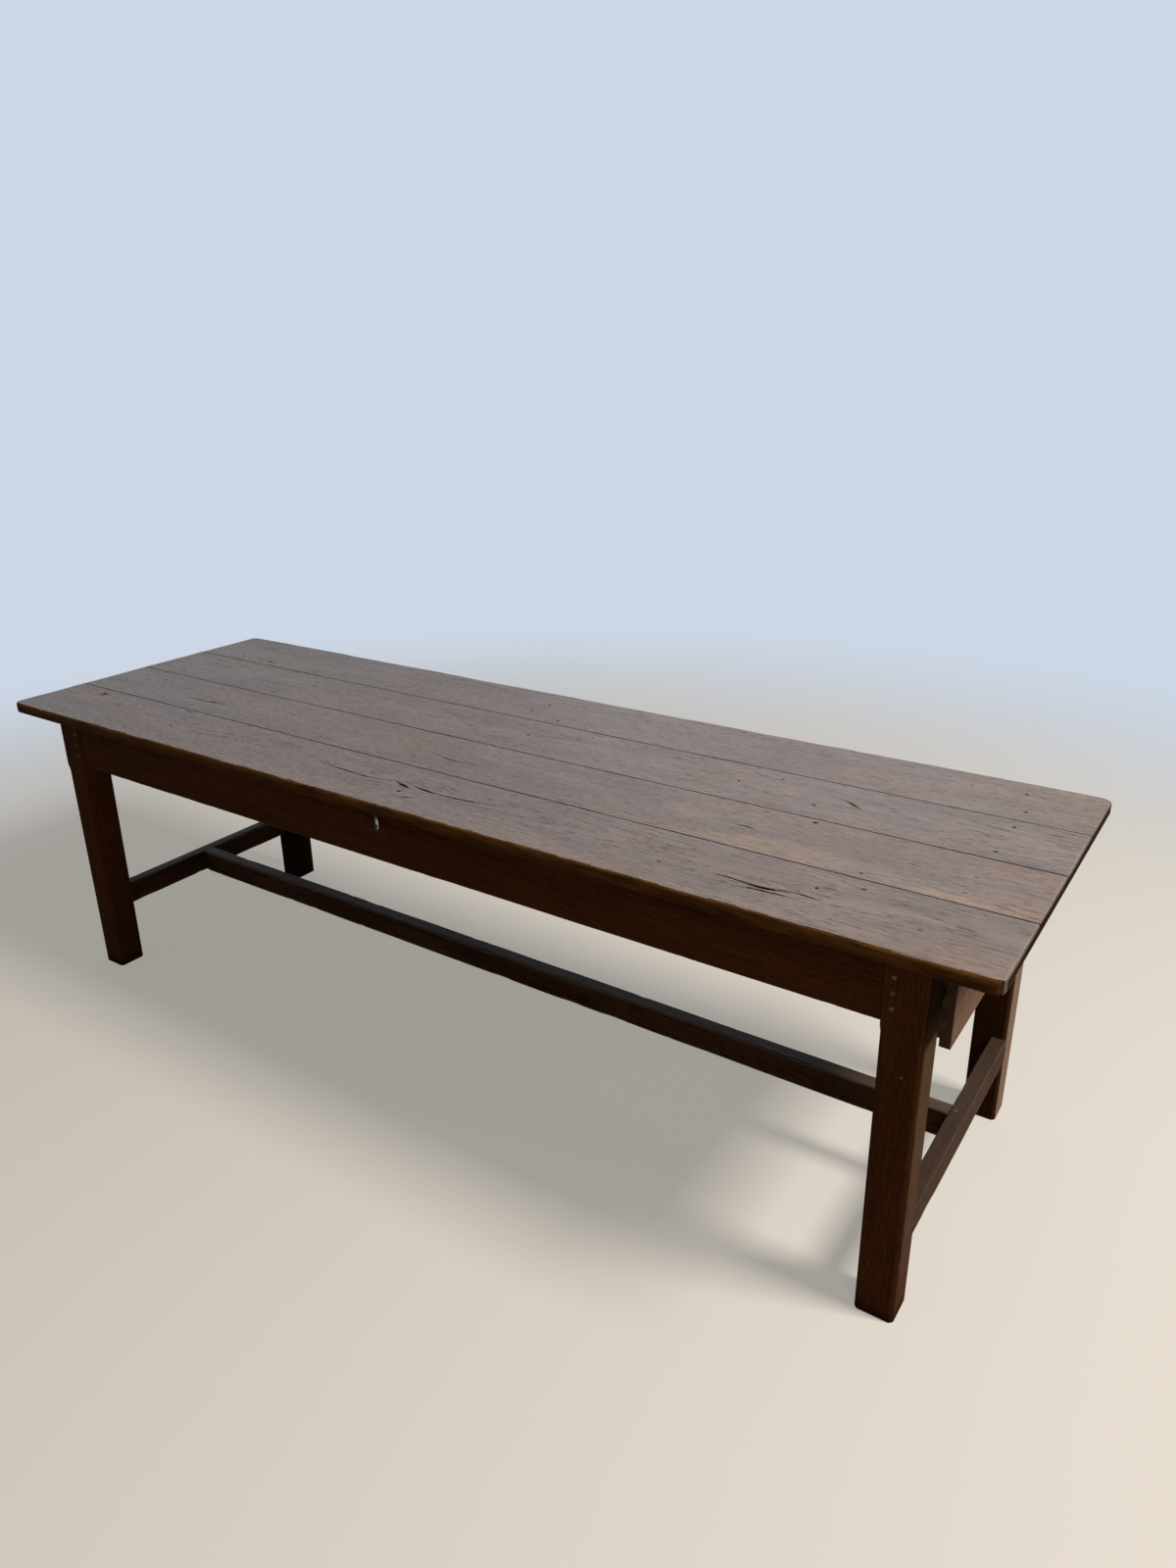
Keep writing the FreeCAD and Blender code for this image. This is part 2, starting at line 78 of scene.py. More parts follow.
# Distances from an outer edge and from a seam where a plank's grid has lines, for a smooth rounding
EDGE_LINES = np.array([0, 0.15, 0.5, 1.0, 1.7, 2.6, 3.8, 5.2, 7.5]) * MM
SEAM_LINES = np.array([0, 0.2, 0.55, 1.0, 1.8]) * MM
# Where the heart of each plank's log lies from the plank's middle: along, across and up
PLANK_HEARTS = ((0.3, 0.03, -0.085), (-0.5, -0.11, -0.07), (0.9, 0.02, -0.12), (-1.2, 0.09, -0.08))

# Cracks along the grain of each plank, in mm: half width, depth, and the points that they run through
CRACKS = (
    (
        (1.1, 2.4, ((-253, -276), (-207, -280), (-135, -286), (-88, -287), (-45, -285), (-14, -266))),
        (2.8, 7.0, ((-14, -275), (8, -282), (34, -290))),
        (2.3, 4.0, ((25, -273), (54, -279), (81, -283), (112, -284))),
        (1.2, 2.6, ((81, -283), (112, -284), (145, -282), (182, -278), (239, -269))),
        (1.4, 2.4, ((728, -303), (742, -301), (777, -303))),
        (3.4, 7.0, ((760, -302), (799, -306), (820, -307), (843, -302), (880, -293))),
        (1.4, 2.4, ((860, -297), (890, -296), (919, -298))),
        (1.5, 2.8, ((773, -327), (805, -318), (830, -316), (851, -315), (885, -313))),
        (1.2, 1.6, ((24, -317), (30, -310))),
        (0.8, 1.2, ((45, -338), (77, -320))),
        (1.4, 2.5, ((-1102, -232), (-1084, -223), (-1060, -221))),
        (1.4, 2.5, ((-1090, -207), (-1084, -223), (-1078, -243))),
        (0.8, 1.5, ((-793, -200), (-749, -205))),
    ),
    (
        (1.1, 2.2, ((-880, -127), (-811, -124), (-709, -109))),
        (0.7, 1.4, ((652, -97), (690, -100), (717, -108))),
        (0.7, 1.4, ((-71, -104), (-37, -113), (2, -121), (48, -117), (83, -108))),
    ),
    (
        (1.4, 2.6, ((782, 114), (807, 107), (840, 82))),
        (0.9, 1.6, ((-722, 12), (-718, 41))),
    ),
    (
        (0.8, 1.5, ((-985, 232), (-961, 219), (-930, 222))),
    ),
)
# Small knots and dents, in mm: X, Y and radius
DENTS = (
    (960, -224, 4), (894, -261, 4), (935, -170, 3), (627, -310, 3), (-719, -294, 4.5), (-802, -360, 3),
    (752, 60, 4), (788, -17, 5), (574, 97, 3), (646, 152, 3), (-1060, -56, 5), (-65, 254, 3.5),
    (-49, 307, 4.5), (975, 321, 2.5), (-961, 219, 5), (-1055, 316, 3.5), (-930, 192, 3),
)
DENT_DEPTH = 1.1 * MM
# Paler, warmer patches where the wax is thin, in mm: X range, Y range and strength
WARM_PATCHES = {"top_plank_front_middle": ((610, 950, -208, -108, 0.45), (990, 1240, -205, -158, 0.4),
                                           (500, 640, -118, -58, 0.3))}
NAIL_RIM = 4.6 * MM
NAIL_SINK = 0.8 * MM
# Nails in the front half of the top are driven deeper and filled over
FILLED_NAIL_DEPTH = 1.6 * MM

# Legs
LEG_FOOT = 70 * MM
LEG_CHAMFER = 6 * MM
BLOCK_CHAMFER = 0.8 * MM
CHAMFER_TOP = 581 * MM
CHAMFER_FULL = 559 * MM
LEG_ARRIS = 1.6 * MM
FOOT_ARRIS = 1.4 * MM
FOOT_DIRT = 38 * MM
# The block beside the drawer carries a painted shadow of the overhang on its end face and the face below it
# is dusty, with painted shade on the chamfers beside it; the back legs are darkened with painted shade, and
# the end face of one is painted paler instead, for the light that falls on it
LEG_BESIDE_DRAWER = "leg_front_right"
PAINTED_SHADE_LEGS = {"leg_back_left": 0.75, "leg_back_right": 0.45}
PAINTED_LIGHT_LEG = "leg_back_right"
CHAMFER_SHADE = 0.5

# Rust stain on the front rail round the iron angle: its middle, width and drop from the rail's upper edge
STAIN_PLACE = -22 * MM
STAIN_WIDTH = 80 * MM
STAIN_DROP = 55 * MM

RAIL_ARRIS = 1.5 * MM
DRAWER_RAIL_ARRIS = 1.2 * MM
STRETCHER_ARRIS = 3 * MM
# Tenons: their length, and how far they are narrower than their bar on each side, in the order that the bar's
# section is drawn in. The shoulders of the end stretchers reach further and fill the legs' chamfers.
SIDE_RAIL_TENON = (46 * MM, (7 * MM, 12 * MM))
END_RAIL_TENON = (46 * MM, (12 * MM, 7 * MM))
DRAWER_RAIL_TENON = (46 * MM, (5 * MM, 7 * MM))
END_STRETCHER_TENON = (38.2 * MM, (9 * MM, 9 * MM))
LONG_STRETCHER_TENON = (20 * MM, (11 * MM, 9 * MM))

# Knob of the drawer: distance from the drawer's face and radius of its turned profile, in mm
KNOB_PROFILE = ((-19, 7), (0, 7), (0.05, 11.4), (0.6, 12), (2.4, 12), (3, 11.5), (4.4, 9.8), (6.2, 9.1),
                (8, 9), (10, 9.5), (11.6, 11), (13.2, 13.6), (15, 16), (16.6, 17.2), (18.2, 17.5),
                (19.8, 17.1), (22, 15.4), (24.4, 12.2), (26.4, 8.2), (27.6, 4), (28, 0.3))

# Camera of the photograph: place, turn from +Y towards -X, dip, roll, and focal length in pixels of an image
# that is 1200 pixels wide and 1600 high
CAMERA_PLACE = (1.48533, -1.78188, 1.55851)
CAMERA_TURN = 34.26
CAMERA_DIP = 21.69
CAMERA_ROLL = -0.79
FOCAL_PIXELS = 1122.27
IMAGE_HEIGHT = 1600
SENSOR = 36

# Numbers that mix the places of a noise lattice: a prime for each axis and the seed, then shifts and primes
LATTICE_PRIMES = np.array((73856093, 19349663, 83492791))
SEED_PRIME = 40503
MIXING_STEPS = ((13, 1274126177), (15, 2246822519))
LOW_BITS = 0xFFFFFFFF


# Shapes
def value_noise(points, size, seed):
    """Smooth noise from -1 to 1: a random number on each corner of a lattice with cells of the given size,
    blended between the eight corners of the cell with a smooth step."""
    cell = points / np.asarray(size)
    base = np.floor(cell).astype(np.int64)
    part = cell - base
    part = part * part * (3 - 2 * part)
    total = np.zeros(points.shape[:-1])
    for corner in itertools.product((0, 1), repeat=3):
        lattice = base + corner
        key = np.bitwise_xor.reduce(lattice * LATTICE_PRIMES, axis=-1) ^ seed * SEED_PRIME
        for shift, prime in MIXING_STEPS:
            key = (key ^ key >> shift) * prime & LOW_BITS
        weight = np.where(corner, part, 1 - part).prod(axis=-1)
        total += weight * (key / 2 ** 31 - 1)
    return total


def line_noise(along, size, seed):
    """Smooth noise from -1 to 1 along a line."""
    points = np.stack([along, np.zeros_like(along), np.zeros_like(along)], axis=-1)
    return value_noise(points, size, seed)


def rounding(distance, radius):
    """How far a face has dropped at a distance from its edge: a quarter circle of the given radius."""
    left = np.clip(radius - distance, 0, radius)
    return radius - np.sqrt(np.clip(radius ** 2 - left ** 2, 0, None))


def fade(value, start, end):
    """Smooth step that is 0 at start and 1 at end."""
    share = np.clip((value - start) / (end - start), 0, 1)
    return share * share * (3 - 2 * share)


def grid_lines(low, high, step, low_lines, high_lines, bands=(), fine=1 * MM):
    """Rising places from low to high: even steps, closer ones at both edges and fine ones in each band. The
    fine ones lie on one lattice, so that bands which overlap share them."""
    places = [low + low_lines, high - high_lines, np.arange(low + step, high - step / 2, step)]
    places += [np.arange(math.floor(start / fine) * fine, end, fine) for start, end in bands]
    places = np.unique(np.clip(np.concatenate(places), low, high))
    keep = np.append(np.diff(places) > 0.12 * MM, True)
    keep[0] = True
    return places[keep]


def section_rings(stations, low, high, radius):
    """Rings of a rounded rectangle along a line, as (along, across, up) points, with normals and marks on
    arrises. low and high hold the limits across and up at each station, and radius the four corners. A
    corner's points lie on a quarter circle, and the points between two corners on the straight face."""
    quarter = np.radians(np.linspace(0, 90, 5))
    on_face = np.array([0.04, 0.15, 0.38, 0.62, 0.85, 0.96])
    signs = np.array([(-1, -1), (1, -1), (1, 1), (-1, 1)])
    turn = np.radians((180, 270, 0, 90))[:, None] + quarter
    outward = np.stack([np.cos(turn), np.sin(turn)], axis=-1)
    corner = np.where(signs > 0, high[:, None], low[:, None])
    centre = corner - signs * radius[..., None]
    arcs = centre[:, :, None] + outward * radius[..., None, None]
    start = arcs[:, :, -1:]
    end = np.roll(arcs, -1, axis=1)[:, :, :1]
    faces = start + (end - start) * on_face[:, None]
    ring = np.concatenate([arcs, faces], axis=2).reshape(len(stations), -1, 2)
    face_normals = np.repeat(outward[:, -1:], len(on_face), axis=1)
    normals = np.concatenate([outward, face_normals], axis=1).reshape(-1, 2)
    along = np.broadcast_to(stations[:, None, None], ring.shape[:2] + (1,))
    near_arris = np.tile(np.append(np.ones(len(quarter)), np.zeros(len(on_face))), 4)
    return np.concatenate([along, ring], axis=-1), normals, np.broadcast_to(near_arris, ring.shape[:2])


def grain_places(points, axis, heart):
    """Places in the log that a piece was cut from: first along its fibres, then across from the log's heart.
    The log tapers, so its heart rises a little along the piece."""
    middle = (points.reshape(-1, 3).min(axis=0) + points.reshape(-1, 3).max(axis=0)) / 2
    log = np.roll(points - middle, -axis, axis=-1) - np.asarray(heart)
    log[..., 2] += 0.018 * log[..., 0]
    return log


def shell(points, axis, heart, wear=0.0, grime_and_shade=0.0):
    """A closed sweep with its place in the log, its wear, and how dirty or darkened by painted shade it is at
    each point.
    """
    size = points.shape[:2]
    return {"points": points, "grain": grain_places(points, axis, heart),
            "wear": np.broadcast_to(wear, size), "grime_and_shade": np.broadcast_to(grime_and_shade, size)}


def worn_bar(axis, low, high, arris, seed, tenon=None, end_arris=None, wobble=0.5 * MM, heart=None,
             grime_and_shade=0.0):
    """A straight bar along one axis: a rounded rectangle whose faces wander inwards and whose arrises are
    worn to an uneven radius. With a tenon, given as length and narrowing, the bar ends in a thinner bar at
    both ends."""
    low = np.roll(low, -axis)
    high = np.roll(high, -axis)
    tenon_length = tenon[0] if tenon else 0.0
    first = low[0] + tenon_length
    last = high[0] - tenon_length
    ends = EDGE_LINES[:5] if end_arris else EDGE_LINES[:1]
    stations = grid_lines(first, last, 9 * MM, ends, ends)
    count = len(stations)
    inset = rounding(np.minimum(stations - first, last - stations), end_arris or 1e-9)[:, None]
    limits = np.broadcast_to(low[1:], (count, 2)) + inset, np.broadcast_to(high[1:], (count, 2)) - inset
    uneven = np.stack([line_noise(stations, 0.12, seed + k) for k in range(4)], axis=-1)
    chipped = np.stack([line_noise(stations, 0.03, seed + 9 + k) for k in range(4)], axis=-1)
    radius = np.asarray(arris) * (1 + 0.35 * uneven + 0.9 * fade(chipped, 0.45, 0.95))
    body, normals, near_arris = section_rings(stations, *limits, radius)
    hollow = 0.5 + 0.5 * value_noise(body, (0.22, 0.03, 0.03), seed + 20)
    body[..., 1:] -= normals * (wobble * hollow)[..., None]
    wear = near_arris * 1.0
    if tenon:
        narrow = np.asarray(tenon[1])
        places = np.array([low[0], first, last, high[0]])
        thin = (np.broadcast_to(low[1:] + narrow, (4, 2)), np.broadcast_to(high[1:] - narrow, (4, 2)))
        ends, _, _ = section_rings(places, *thin, np.full((4, 4), 0.3 * MM))
        body = np.concatenate([ends[:2], body, ends[2:]])
        wear = np.pad(wear, ((2, 2), (0, 0)))
    points = np.roll(body, axis, axis=-1)
    if heart is None:
        heart = 0.4 * np.sin(seed * np.array([1.7, 0.9, 2.3])) * (2, 0.2, 0.2) + (0, 0.05, 0.06)
    return shell(points, axis, heart, wear, grime_and_shade)


def turned(profile, origin, direction, count=32, uneven=0.0, seed=0):
    """A lathe shape: each (distance, radius) of the profile becomes a ring round the axis. The radius may
    vary a little with the angle, as on a hand-forged head."""
    profile = np.asarray(profile)
    axis = np.asarray(direction, float)
    side = np.roll(axis, 1)
    other = np.cross(axis, side)
    angle = np.linspace(0, 2 * math.pi, count, endpoint=False)
    waves = np.sin(2 * angle + seed) + 0.7 * np.sin(3 * angle + 2.3 * seed) + 0.4 * np.sin(5 * angle)
    wave = 1 + uneven * waves
    spokes = (np.cos(angle)[:, None] * side + np.sin(angle)[:, None] * other) * wave[:, None]
    return np.asarray(origin) + profile[:, None, :1] * axis + profile[:, None, 1:] * spokes


def distance_to_path(x, y, path):
    """Smallest distance in plan from each grid point to a line through the path's points."""
    best = np.full(x.shape, np.inf)
    for (x0, y0), (x1, y1) in zip(path, path[1:]):
        length = (x1 - x0) ** 2 + (y1 - y0) ** 2
        share = np.clip(((x - x0) * (x1 - x0) + (y - y0) * (y1 - y0)) / length, 0, 1)
        best = np.minimum(best, np.hypot(x - x0 - share * (x1 - x0), y - y0 - share * (y1 - y0)))
    return best


def share_along(x, path):
    """How far along a path's X range each point lies, from 0 to 1."""
    return np.clip((x - path[0][0]) / (path[-1][0] - path[0][0]), 0, 1)


# Meshes
def build(name, shells, material, stands_for, body="table", sharp=40, dull=None):
    """One piece from closed sweeps. Rings that follow each other are joined by quads, and the first and last
    ring are closed by a face each. Faces that are mostly worn, dirty or darkened with painted shade take the
    dull material, where there is one. The piece replaces its CAD node and rides on its body."""
    faces = []
    rubbed = []
    count = 0
    for part in shells:
        rows, columns = part["points"].shape[:2]
        index = count + np.arange(rows * columns).reshape(rows, columns)
        count += rows * columns
        near, far = index[:-1], index[1:]
        quads = np.stack([near, np.roll(near, -1, axis=1), np.roll(far, -1, axis=1), far], axis=-1)
        faces += quads.reshape(-1, 4).tolist() + [index[0, ::-1].tolist(), index[-1].tolist()]
        marks = np.maximum(part["wear"], part["grime_and_shade"] - 0.35)
        marks = np.maximum(marks, np.roll(marks, -1, axis=1))
        rubbed.append(np.append(np.maximum(marks[:-1], marks[1:]).ravel() > 0.5, (True, True)))
    mesh = bpy.data.meshes.new(name)
    mesh.from_pydata(np.concatenate([part["points"].reshape(-1, 3) for part in shells]).tolist(), [], faces)
    marks = (("grain", "FLOAT_VECTOR", "vector"), ("wear", "FLOAT", "value"), ("grime_and_shade", "FLOAT", "value"))
    for key, kind, field in marks:
        values = np.concatenate([np.ravel(part[key]) for part in shells]).astype(np.float32)
        mesh.attributes.new(key, kind, "POINT").data.foreach_set(field, values)
    mesh.polygons.foreach_set("use_smooth", np.ones(len(faces), bool))
    mesh.set_sharp_from_angle(angle=math.radians(sharp))
    mesh.materials.append(material)
    if dull:
        mesh.materials.append(dull)
        mesh.polygons.foreach_set("material_index", np.concatenate(rubbed).astype(np.int32))
    piece = bpy.data.objects.new(name, mesh)
    bpy.context.scene.collection.objects.link(piece)
    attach(piece, body)
    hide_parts(stands_for)


def node_box(name):
    """Lowest and highest corner of a CAD node."""
    return [np.array(corner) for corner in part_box(name)]


def solid_boxes(name):
    """Boxes of the separate solids of a CAD node. Points of one triangle take the lowest label among them,
    again and again until no label changes, so that each solid ends with a label of its own."""
    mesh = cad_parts[name].data
    points = np.empty(len(mesh.vertices) * 3)
    mesh.vertices.foreach_get("co", points)
    points = points.reshape(-1, 3)
    shared = np.unique(np.round(points, 6), axis=0, return_inverse=True)[1].ravel()
    corners = np.empty(len(mesh.loops), np.int32)
    mesh.loops.foreach_get("vertex_index", corners)
    triangles = shared[corners].reshape(-1, 3)
    labels = np.arange(shared.max() + 1)
    before = None
    while before is None or (labels != before).any():
        before = labels.copy()
        np.minimum.at(labels, triangles, before[triangles].min(axis=1, keepdims=True))
    owner = labels[shared]
    return [(points[owner == k].min(axis=0), points[owner == k].max(axis=0)) for k in np.unique(owner)]


# Materials
def linear(colour):
    """An sRGB hex colour as linear red, green, blue and alpha."""
    channels = [int(colour[start:start + 2], 16) / 255 for start in (1, 3, 5)]
    return [c / 12.92 if c <= 0.04045 else ((c + 0.055) / 1.055) ** 2.4 for c in channels] + [1.0]


def add(tree, kind, inputs=None, out=0, **settings):
    """Adds a shader node with settings, gives each named socket a value or a link, and returns an output."""
    node = tree.nodes.new("ShaderNode" + kind)
    for name, value in settings.items():
        setattr(node, name, value)
    for socket, value in (inputs or {}).items():
        if isinstance(value, bpy.types.NodeSocket):
            tree.links.new(value, node.inputs[socket])
        else:
            node.inputs[socket].default_value = value
    return node.outputs[out] if node.outputs else None


# Sockets of the Mix node when it mixes colours
FACTOR, COLOUR_A, COLOUR_B, MIXED = 0, 6, 7, 2


def new_tree(name):
    """A new material and its empty node tree."""
    material = bpy.data.materials.new(name)
    material.use_nodes = True
    material.node_tree.nodes.clear()
    return material, material.node_tree


def oak(name, deep, middle, pale, worn, dirt_and_shade, gloss, lustre, coat=0.0, warm=None, turn=None):
    """Oak, sawn, stained and waxed: rings and long streaks along the fibres, open pores as short dark
    dashes, cloudy wax, paler wood on worn arrises, and a dark colour where seams are dirty and where shade is
    painted on shaded faces. The pores of oak are 0.3 mm wide; they are drawn 1.8 mm wide, so that they show.
    gloss is the roughness, lustre the specular level and coat the wax layer. Without a log place of its own,
    a piece reads object coordinates, turned so that X runs along its fibres."""
    material, tree = new_tree(name)
    if turn is None:
        place = add(tree, "Attribute", attribute_name="grain", out="Vector")
    else:
        place = add(tree, "TexCoord", out="Object")
        place = add(tree, "Mapping", {"Vector": place, "Rotation": turn, "Location": (0.3, 0.07, 0.09)})

    def clouds(along, across, detail):
        """Noise with patches of the given size in mm along and across the fibres."""
        cells = (1000 / along, 1000 / across, 1000 / across)
        scaled = add(tree, "VectorMath", {0: place, 1: cells}, operation="MULTIPLY")
        return add(tree, "TexNoise", {"Vector": scaled, "Scale": 1.0, "Detail": detail, "Roughness": 0.55})

    def between(value, start, end, low=0.0, high=1.0):
        """The value's share between start and end, as a smooth step from low to high."""
        limits = {0: value, 1: start, 2: end, 3: low, 4: high}
        return add(tree, "MapRange", limits, interpolation_type="SMOOTHSTEP")

    def mixed(share, first, second, blend="MIX"):
        """Two colours mixed by a share."""
        return add(tree, "Mix", {FACTOR: share, COLOUR_A: first, COLOUR_B: second}, MIXED,
                   data_type="RGBA", blend_type=blend)

    across = add(tree, "VectorMath", {0: place, 1: (0, 1, 1)}, operation="MULTIPLY")
    radius = add(tree, "VectorMath", {0: across}, "Value", operation="LENGTH")
    wander = clouds(420, 45, 2)
    radius = add(tree, "Math", {0: wander, 1: 0.022, 2: radius}, operation="MULTIPLY_ADD")
    ring = add(tree, "Math", {0: radius, 1: 2 * math.pi / (4.6 * MM)}, operation="MULTIPLY")
    early = between(add(tree, "Math", {0: ring}, operation="SINE"), 0.1, 1.0)
    streak = between(clouds(260, 4.5, 3), 0.15, 0.75)
    lines = between(clouds(90, 2.6, 2), 0.46, 0.60)
    cloud = between(clouds(330, 60, 3), 0.3, 0.7)
    pores = between(clouds(20, 1.8, 1), 0.50, 0.62)
    pores = add(tree, "Math", {0: pores, 1: between(early, 0.0, 1.0, 0.4, 1.0)}, operation="MULTIPLY")

    colour = mixed(streak, linear(deep), linear(middle))
    colour = mixed(between(cloud, 0.0, 1.0, 0.0, 0.5), colour, linear(pale))
    if warm:
        colour = mixed(between(clouds(520, 85, 2), 0.42, 0.72, 0.0, 0.45), colour, linear(warm))
    colour = mixed(between(lines, 0.0, 1.0, 0.0, 0.38), colour, linear(deep))
    colour = mixed(between(early, 0.0, 1.0, 0.0, 0.2), colour, linear(deep))
    colour = mixed(between(pores, 0.0, 1.0, 0.0, 0.7), colour, linear(dirt_and_shade))
    rubbed = add(tree, "Attribute", attribute_name="wear", out="Fac")
    patchy = between(clouds(60, 9, 3), 0.25, 0.75, 0.15, 1.0)
    rubbed = add(tree, "Math", {0: rubbed, 1: patchy}, operation="MULTIPLY")
    colour = mixed(rubbed, colour, linear(worn))
    soiled_and_shaded = add(tree, "Attribute", attribute_name="grime_and_shade", out="Fac")
    colour = mixed(soiled_and_shaded, colour, linear(dirt_and_shade))

    rough = add(tree, "Math", {0: streak, 1: 0.12, 2: gloss - 0.06}, operation="MULTIPLY_ADD")
    rough = add(tree, "Math", {0: pores, 1: 0.2, 2: rough}, operation="MULTIPLY_ADD")
    rough = add(tree, "Math", {0: soiled_and_shaded, 1: 0.3, 2: rough}, operation="MULTIPLY_ADD", use_clamp=True)
    height = add(tree, "Math", {0: early, 1: -0.4, 2: streak}, operation="MULTIPLY_ADD")
    height = add(tree, "Math", {0: pores, 1: -1.2, 2: height}, operation="MULTIPLY_ADD")
    relief = add(tree, "Bump", {"Height": height, "Strength": 0.35, "Distance": 0.35 * MM})
    surface = add(tree, "BsdfPrincipled", {"Base Color": colour, "Roughness": rough, "Normal": relief,
                                           "IOR": 1.5, "Specular IOR Level": lustre,
                                           "Coat Weight": coat, "Coat Roughness": 0.36})
    add(tree, "OutputMaterial", {"Surface": surface})
    return material


def wrought_iron(name, bare, rust, shine, metallic):
    """Wrought iron, forged and rusted brown long ago, rubbed to bare grey metal in patches."""
    material, tree = new_tree(name)
    place = add(tree, "TexCoord", out="Object")
    patches = add(tree, "TexNoise", {"Vector": place, "Scale": 1 / (7 * MM), "Detail": 4.0})
    pits = add(tree, "TexNoise", {"Vector": place, "Scale": 1 / (1.2 * MM), "Detail": 2.0})
    rubbed = add(tree, "Attribute", attribute_name="wear", out="Fac")
    rusted = add(tree, "Math", {0: patches, 1: rubbed}, operation="SUBTRACT")
    rusted = add(tree, "MapRange", {0: rusted, 1: -0.5, 2: 0.1}, interpolation_type="SMOOTHSTEP")
    tones = {FACTOR: rusted, COLOUR_A: linear(bare), COLOUR_B: linear(rust)}
    colour = add(tree, "Mix", tones, MIXED, data_type="RGBA")
    rough = add(tree, "MapRange", {0: rusted, 1: 0.0, 2: 1.0, 3: shine, 4: 0.8})
    metal = add(tree, "MapRange", {0: rusted, 1: 0.0, 2: 1.0, 3: metallic, 4: 0.1})
    relief = add(tree, "Bump", {"Height": pits, "Strength": 0.5, "Distance": 0.25 * MM})
    surface = add(tree, "BsdfPrincipled", {"Base Color": colour, "Roughness": rough, "Metallic": metal,
                                           "Normal": relief})
    add(tree, "OutputMaterial", {"Surface": surface})
    return material


# Dull silvery brown with a faint wax shine
OAK_TOP = oak("waxed oak of the top",
              "#51463F", "#71635D", "#7E7069", "#967C62", "#120B08", 0.42, 0.42, 0.12, "#806450")
# Bare golden brown where the wax has been rubbed away
OAK_RIM = oak("rubbed oak of the top's edges",
              "#1A0E08", "#34200D", "#432A14", "#62401C", "#0D0704", 0.65, 0.03)
# Deep red-brown stain without shine
OAK_FRAME = oak("stained oak of the frame",
                "#351D0D", "#4A2B17", "#54341C", "#503118", "#1A110A", 0.6, 0.01)
# The same stain, worn to a dusty brown beside the drawer
OAK_DUSTY = oak("dusty oak of the leg by the drawer",
                "#351D0D", "#4A2B17", "#54341C", "#483C2F", "#1A110A", 0.65, 0.01)
# Dusty brown with pale scuffs
OAK_STRETCHER = oak("scuffed oak of the stretchers",
                    "#241409", "#3B2518", "#4D3625", "#553C2A", "#120A06", 0.6, 0.03)
# Dark, with a soft shine from shoes
OAK_FOOTREST = oak("oak rubbed by feet",
                   "#160E0A", "#33261D", "#48392D", "#37291F", "#120A06", 0.5, 0.1)
# Grey-brown and dry, scraped bare by boots, and paler than the oak rubbed by feet: painted light for the
# stretchers that lie in shade
OAK_SCRAPED_AND_PAINTED_LIGHT = oak("oak scraped by boots, painted paler for light",
                  "#241A14", "#43352A", "#56463A", "#46382D", "#120A06", 0.5, 0.12)
# Paler end grain that stands out from the stain
OAK_PEG = oak("riven oak of the pegs",
              "#3F2B1C", "#574029", "#69523C", "#8F7A66", "#1C0F08", 0.6, 0.05)
# Dry, pale and without wax; on one leg's end face it is painted light, paler for the light that falls there
OAK_FACE = oak("dry oak of the drawer front",
               "#5C4231", "#735744", "#806452", "#6E5E4D", "#150C07", 0.65, 0.1)
# Plain brown wood that was never stained
RAW_OAK = ("#3C2A1C", "#4E3826", "#5A4330", "#5A4330", "#1A100A", 0.7, 0.15, 0.0)
RAW_ALONG_X = oak("unstained oak along the table", *RAW_OAK, turn=(0, 0, 0))
RAW_ALONG_Y = oak("unstained oak across the table", *RAW_OAK, turn=(0, 0, -math.pi / 2))
# Grey metal with a broad highlight between brown rust
IRON = wrought_iron("wrought iron", "#B5B2AE", "#2A1B14", 0.38, 1.0)
# Nearly black dots
NAIL_IRON = wrought_iron("rusted iron of the nails", "#3B332D", "#190F0A", 0.5, 0.4)


# Top
nail_boxes = solid_boxes("top_nails")
nail_places = [((low + high) / 2)[:2] for low, high in nail_boxes]
bearer_low, bearer_high = node_box("cross_bearer")


def nail_shown(x, y):
    """How far a nail shows: fully in the back half, and as a faint mark in the front half, except over the
    cross bearer, where its filling matches the wood."""
    if y > 0:
        return 1.0
    return 0.0 if bearer_low[0] < x < bearer_high[0] else 0.55


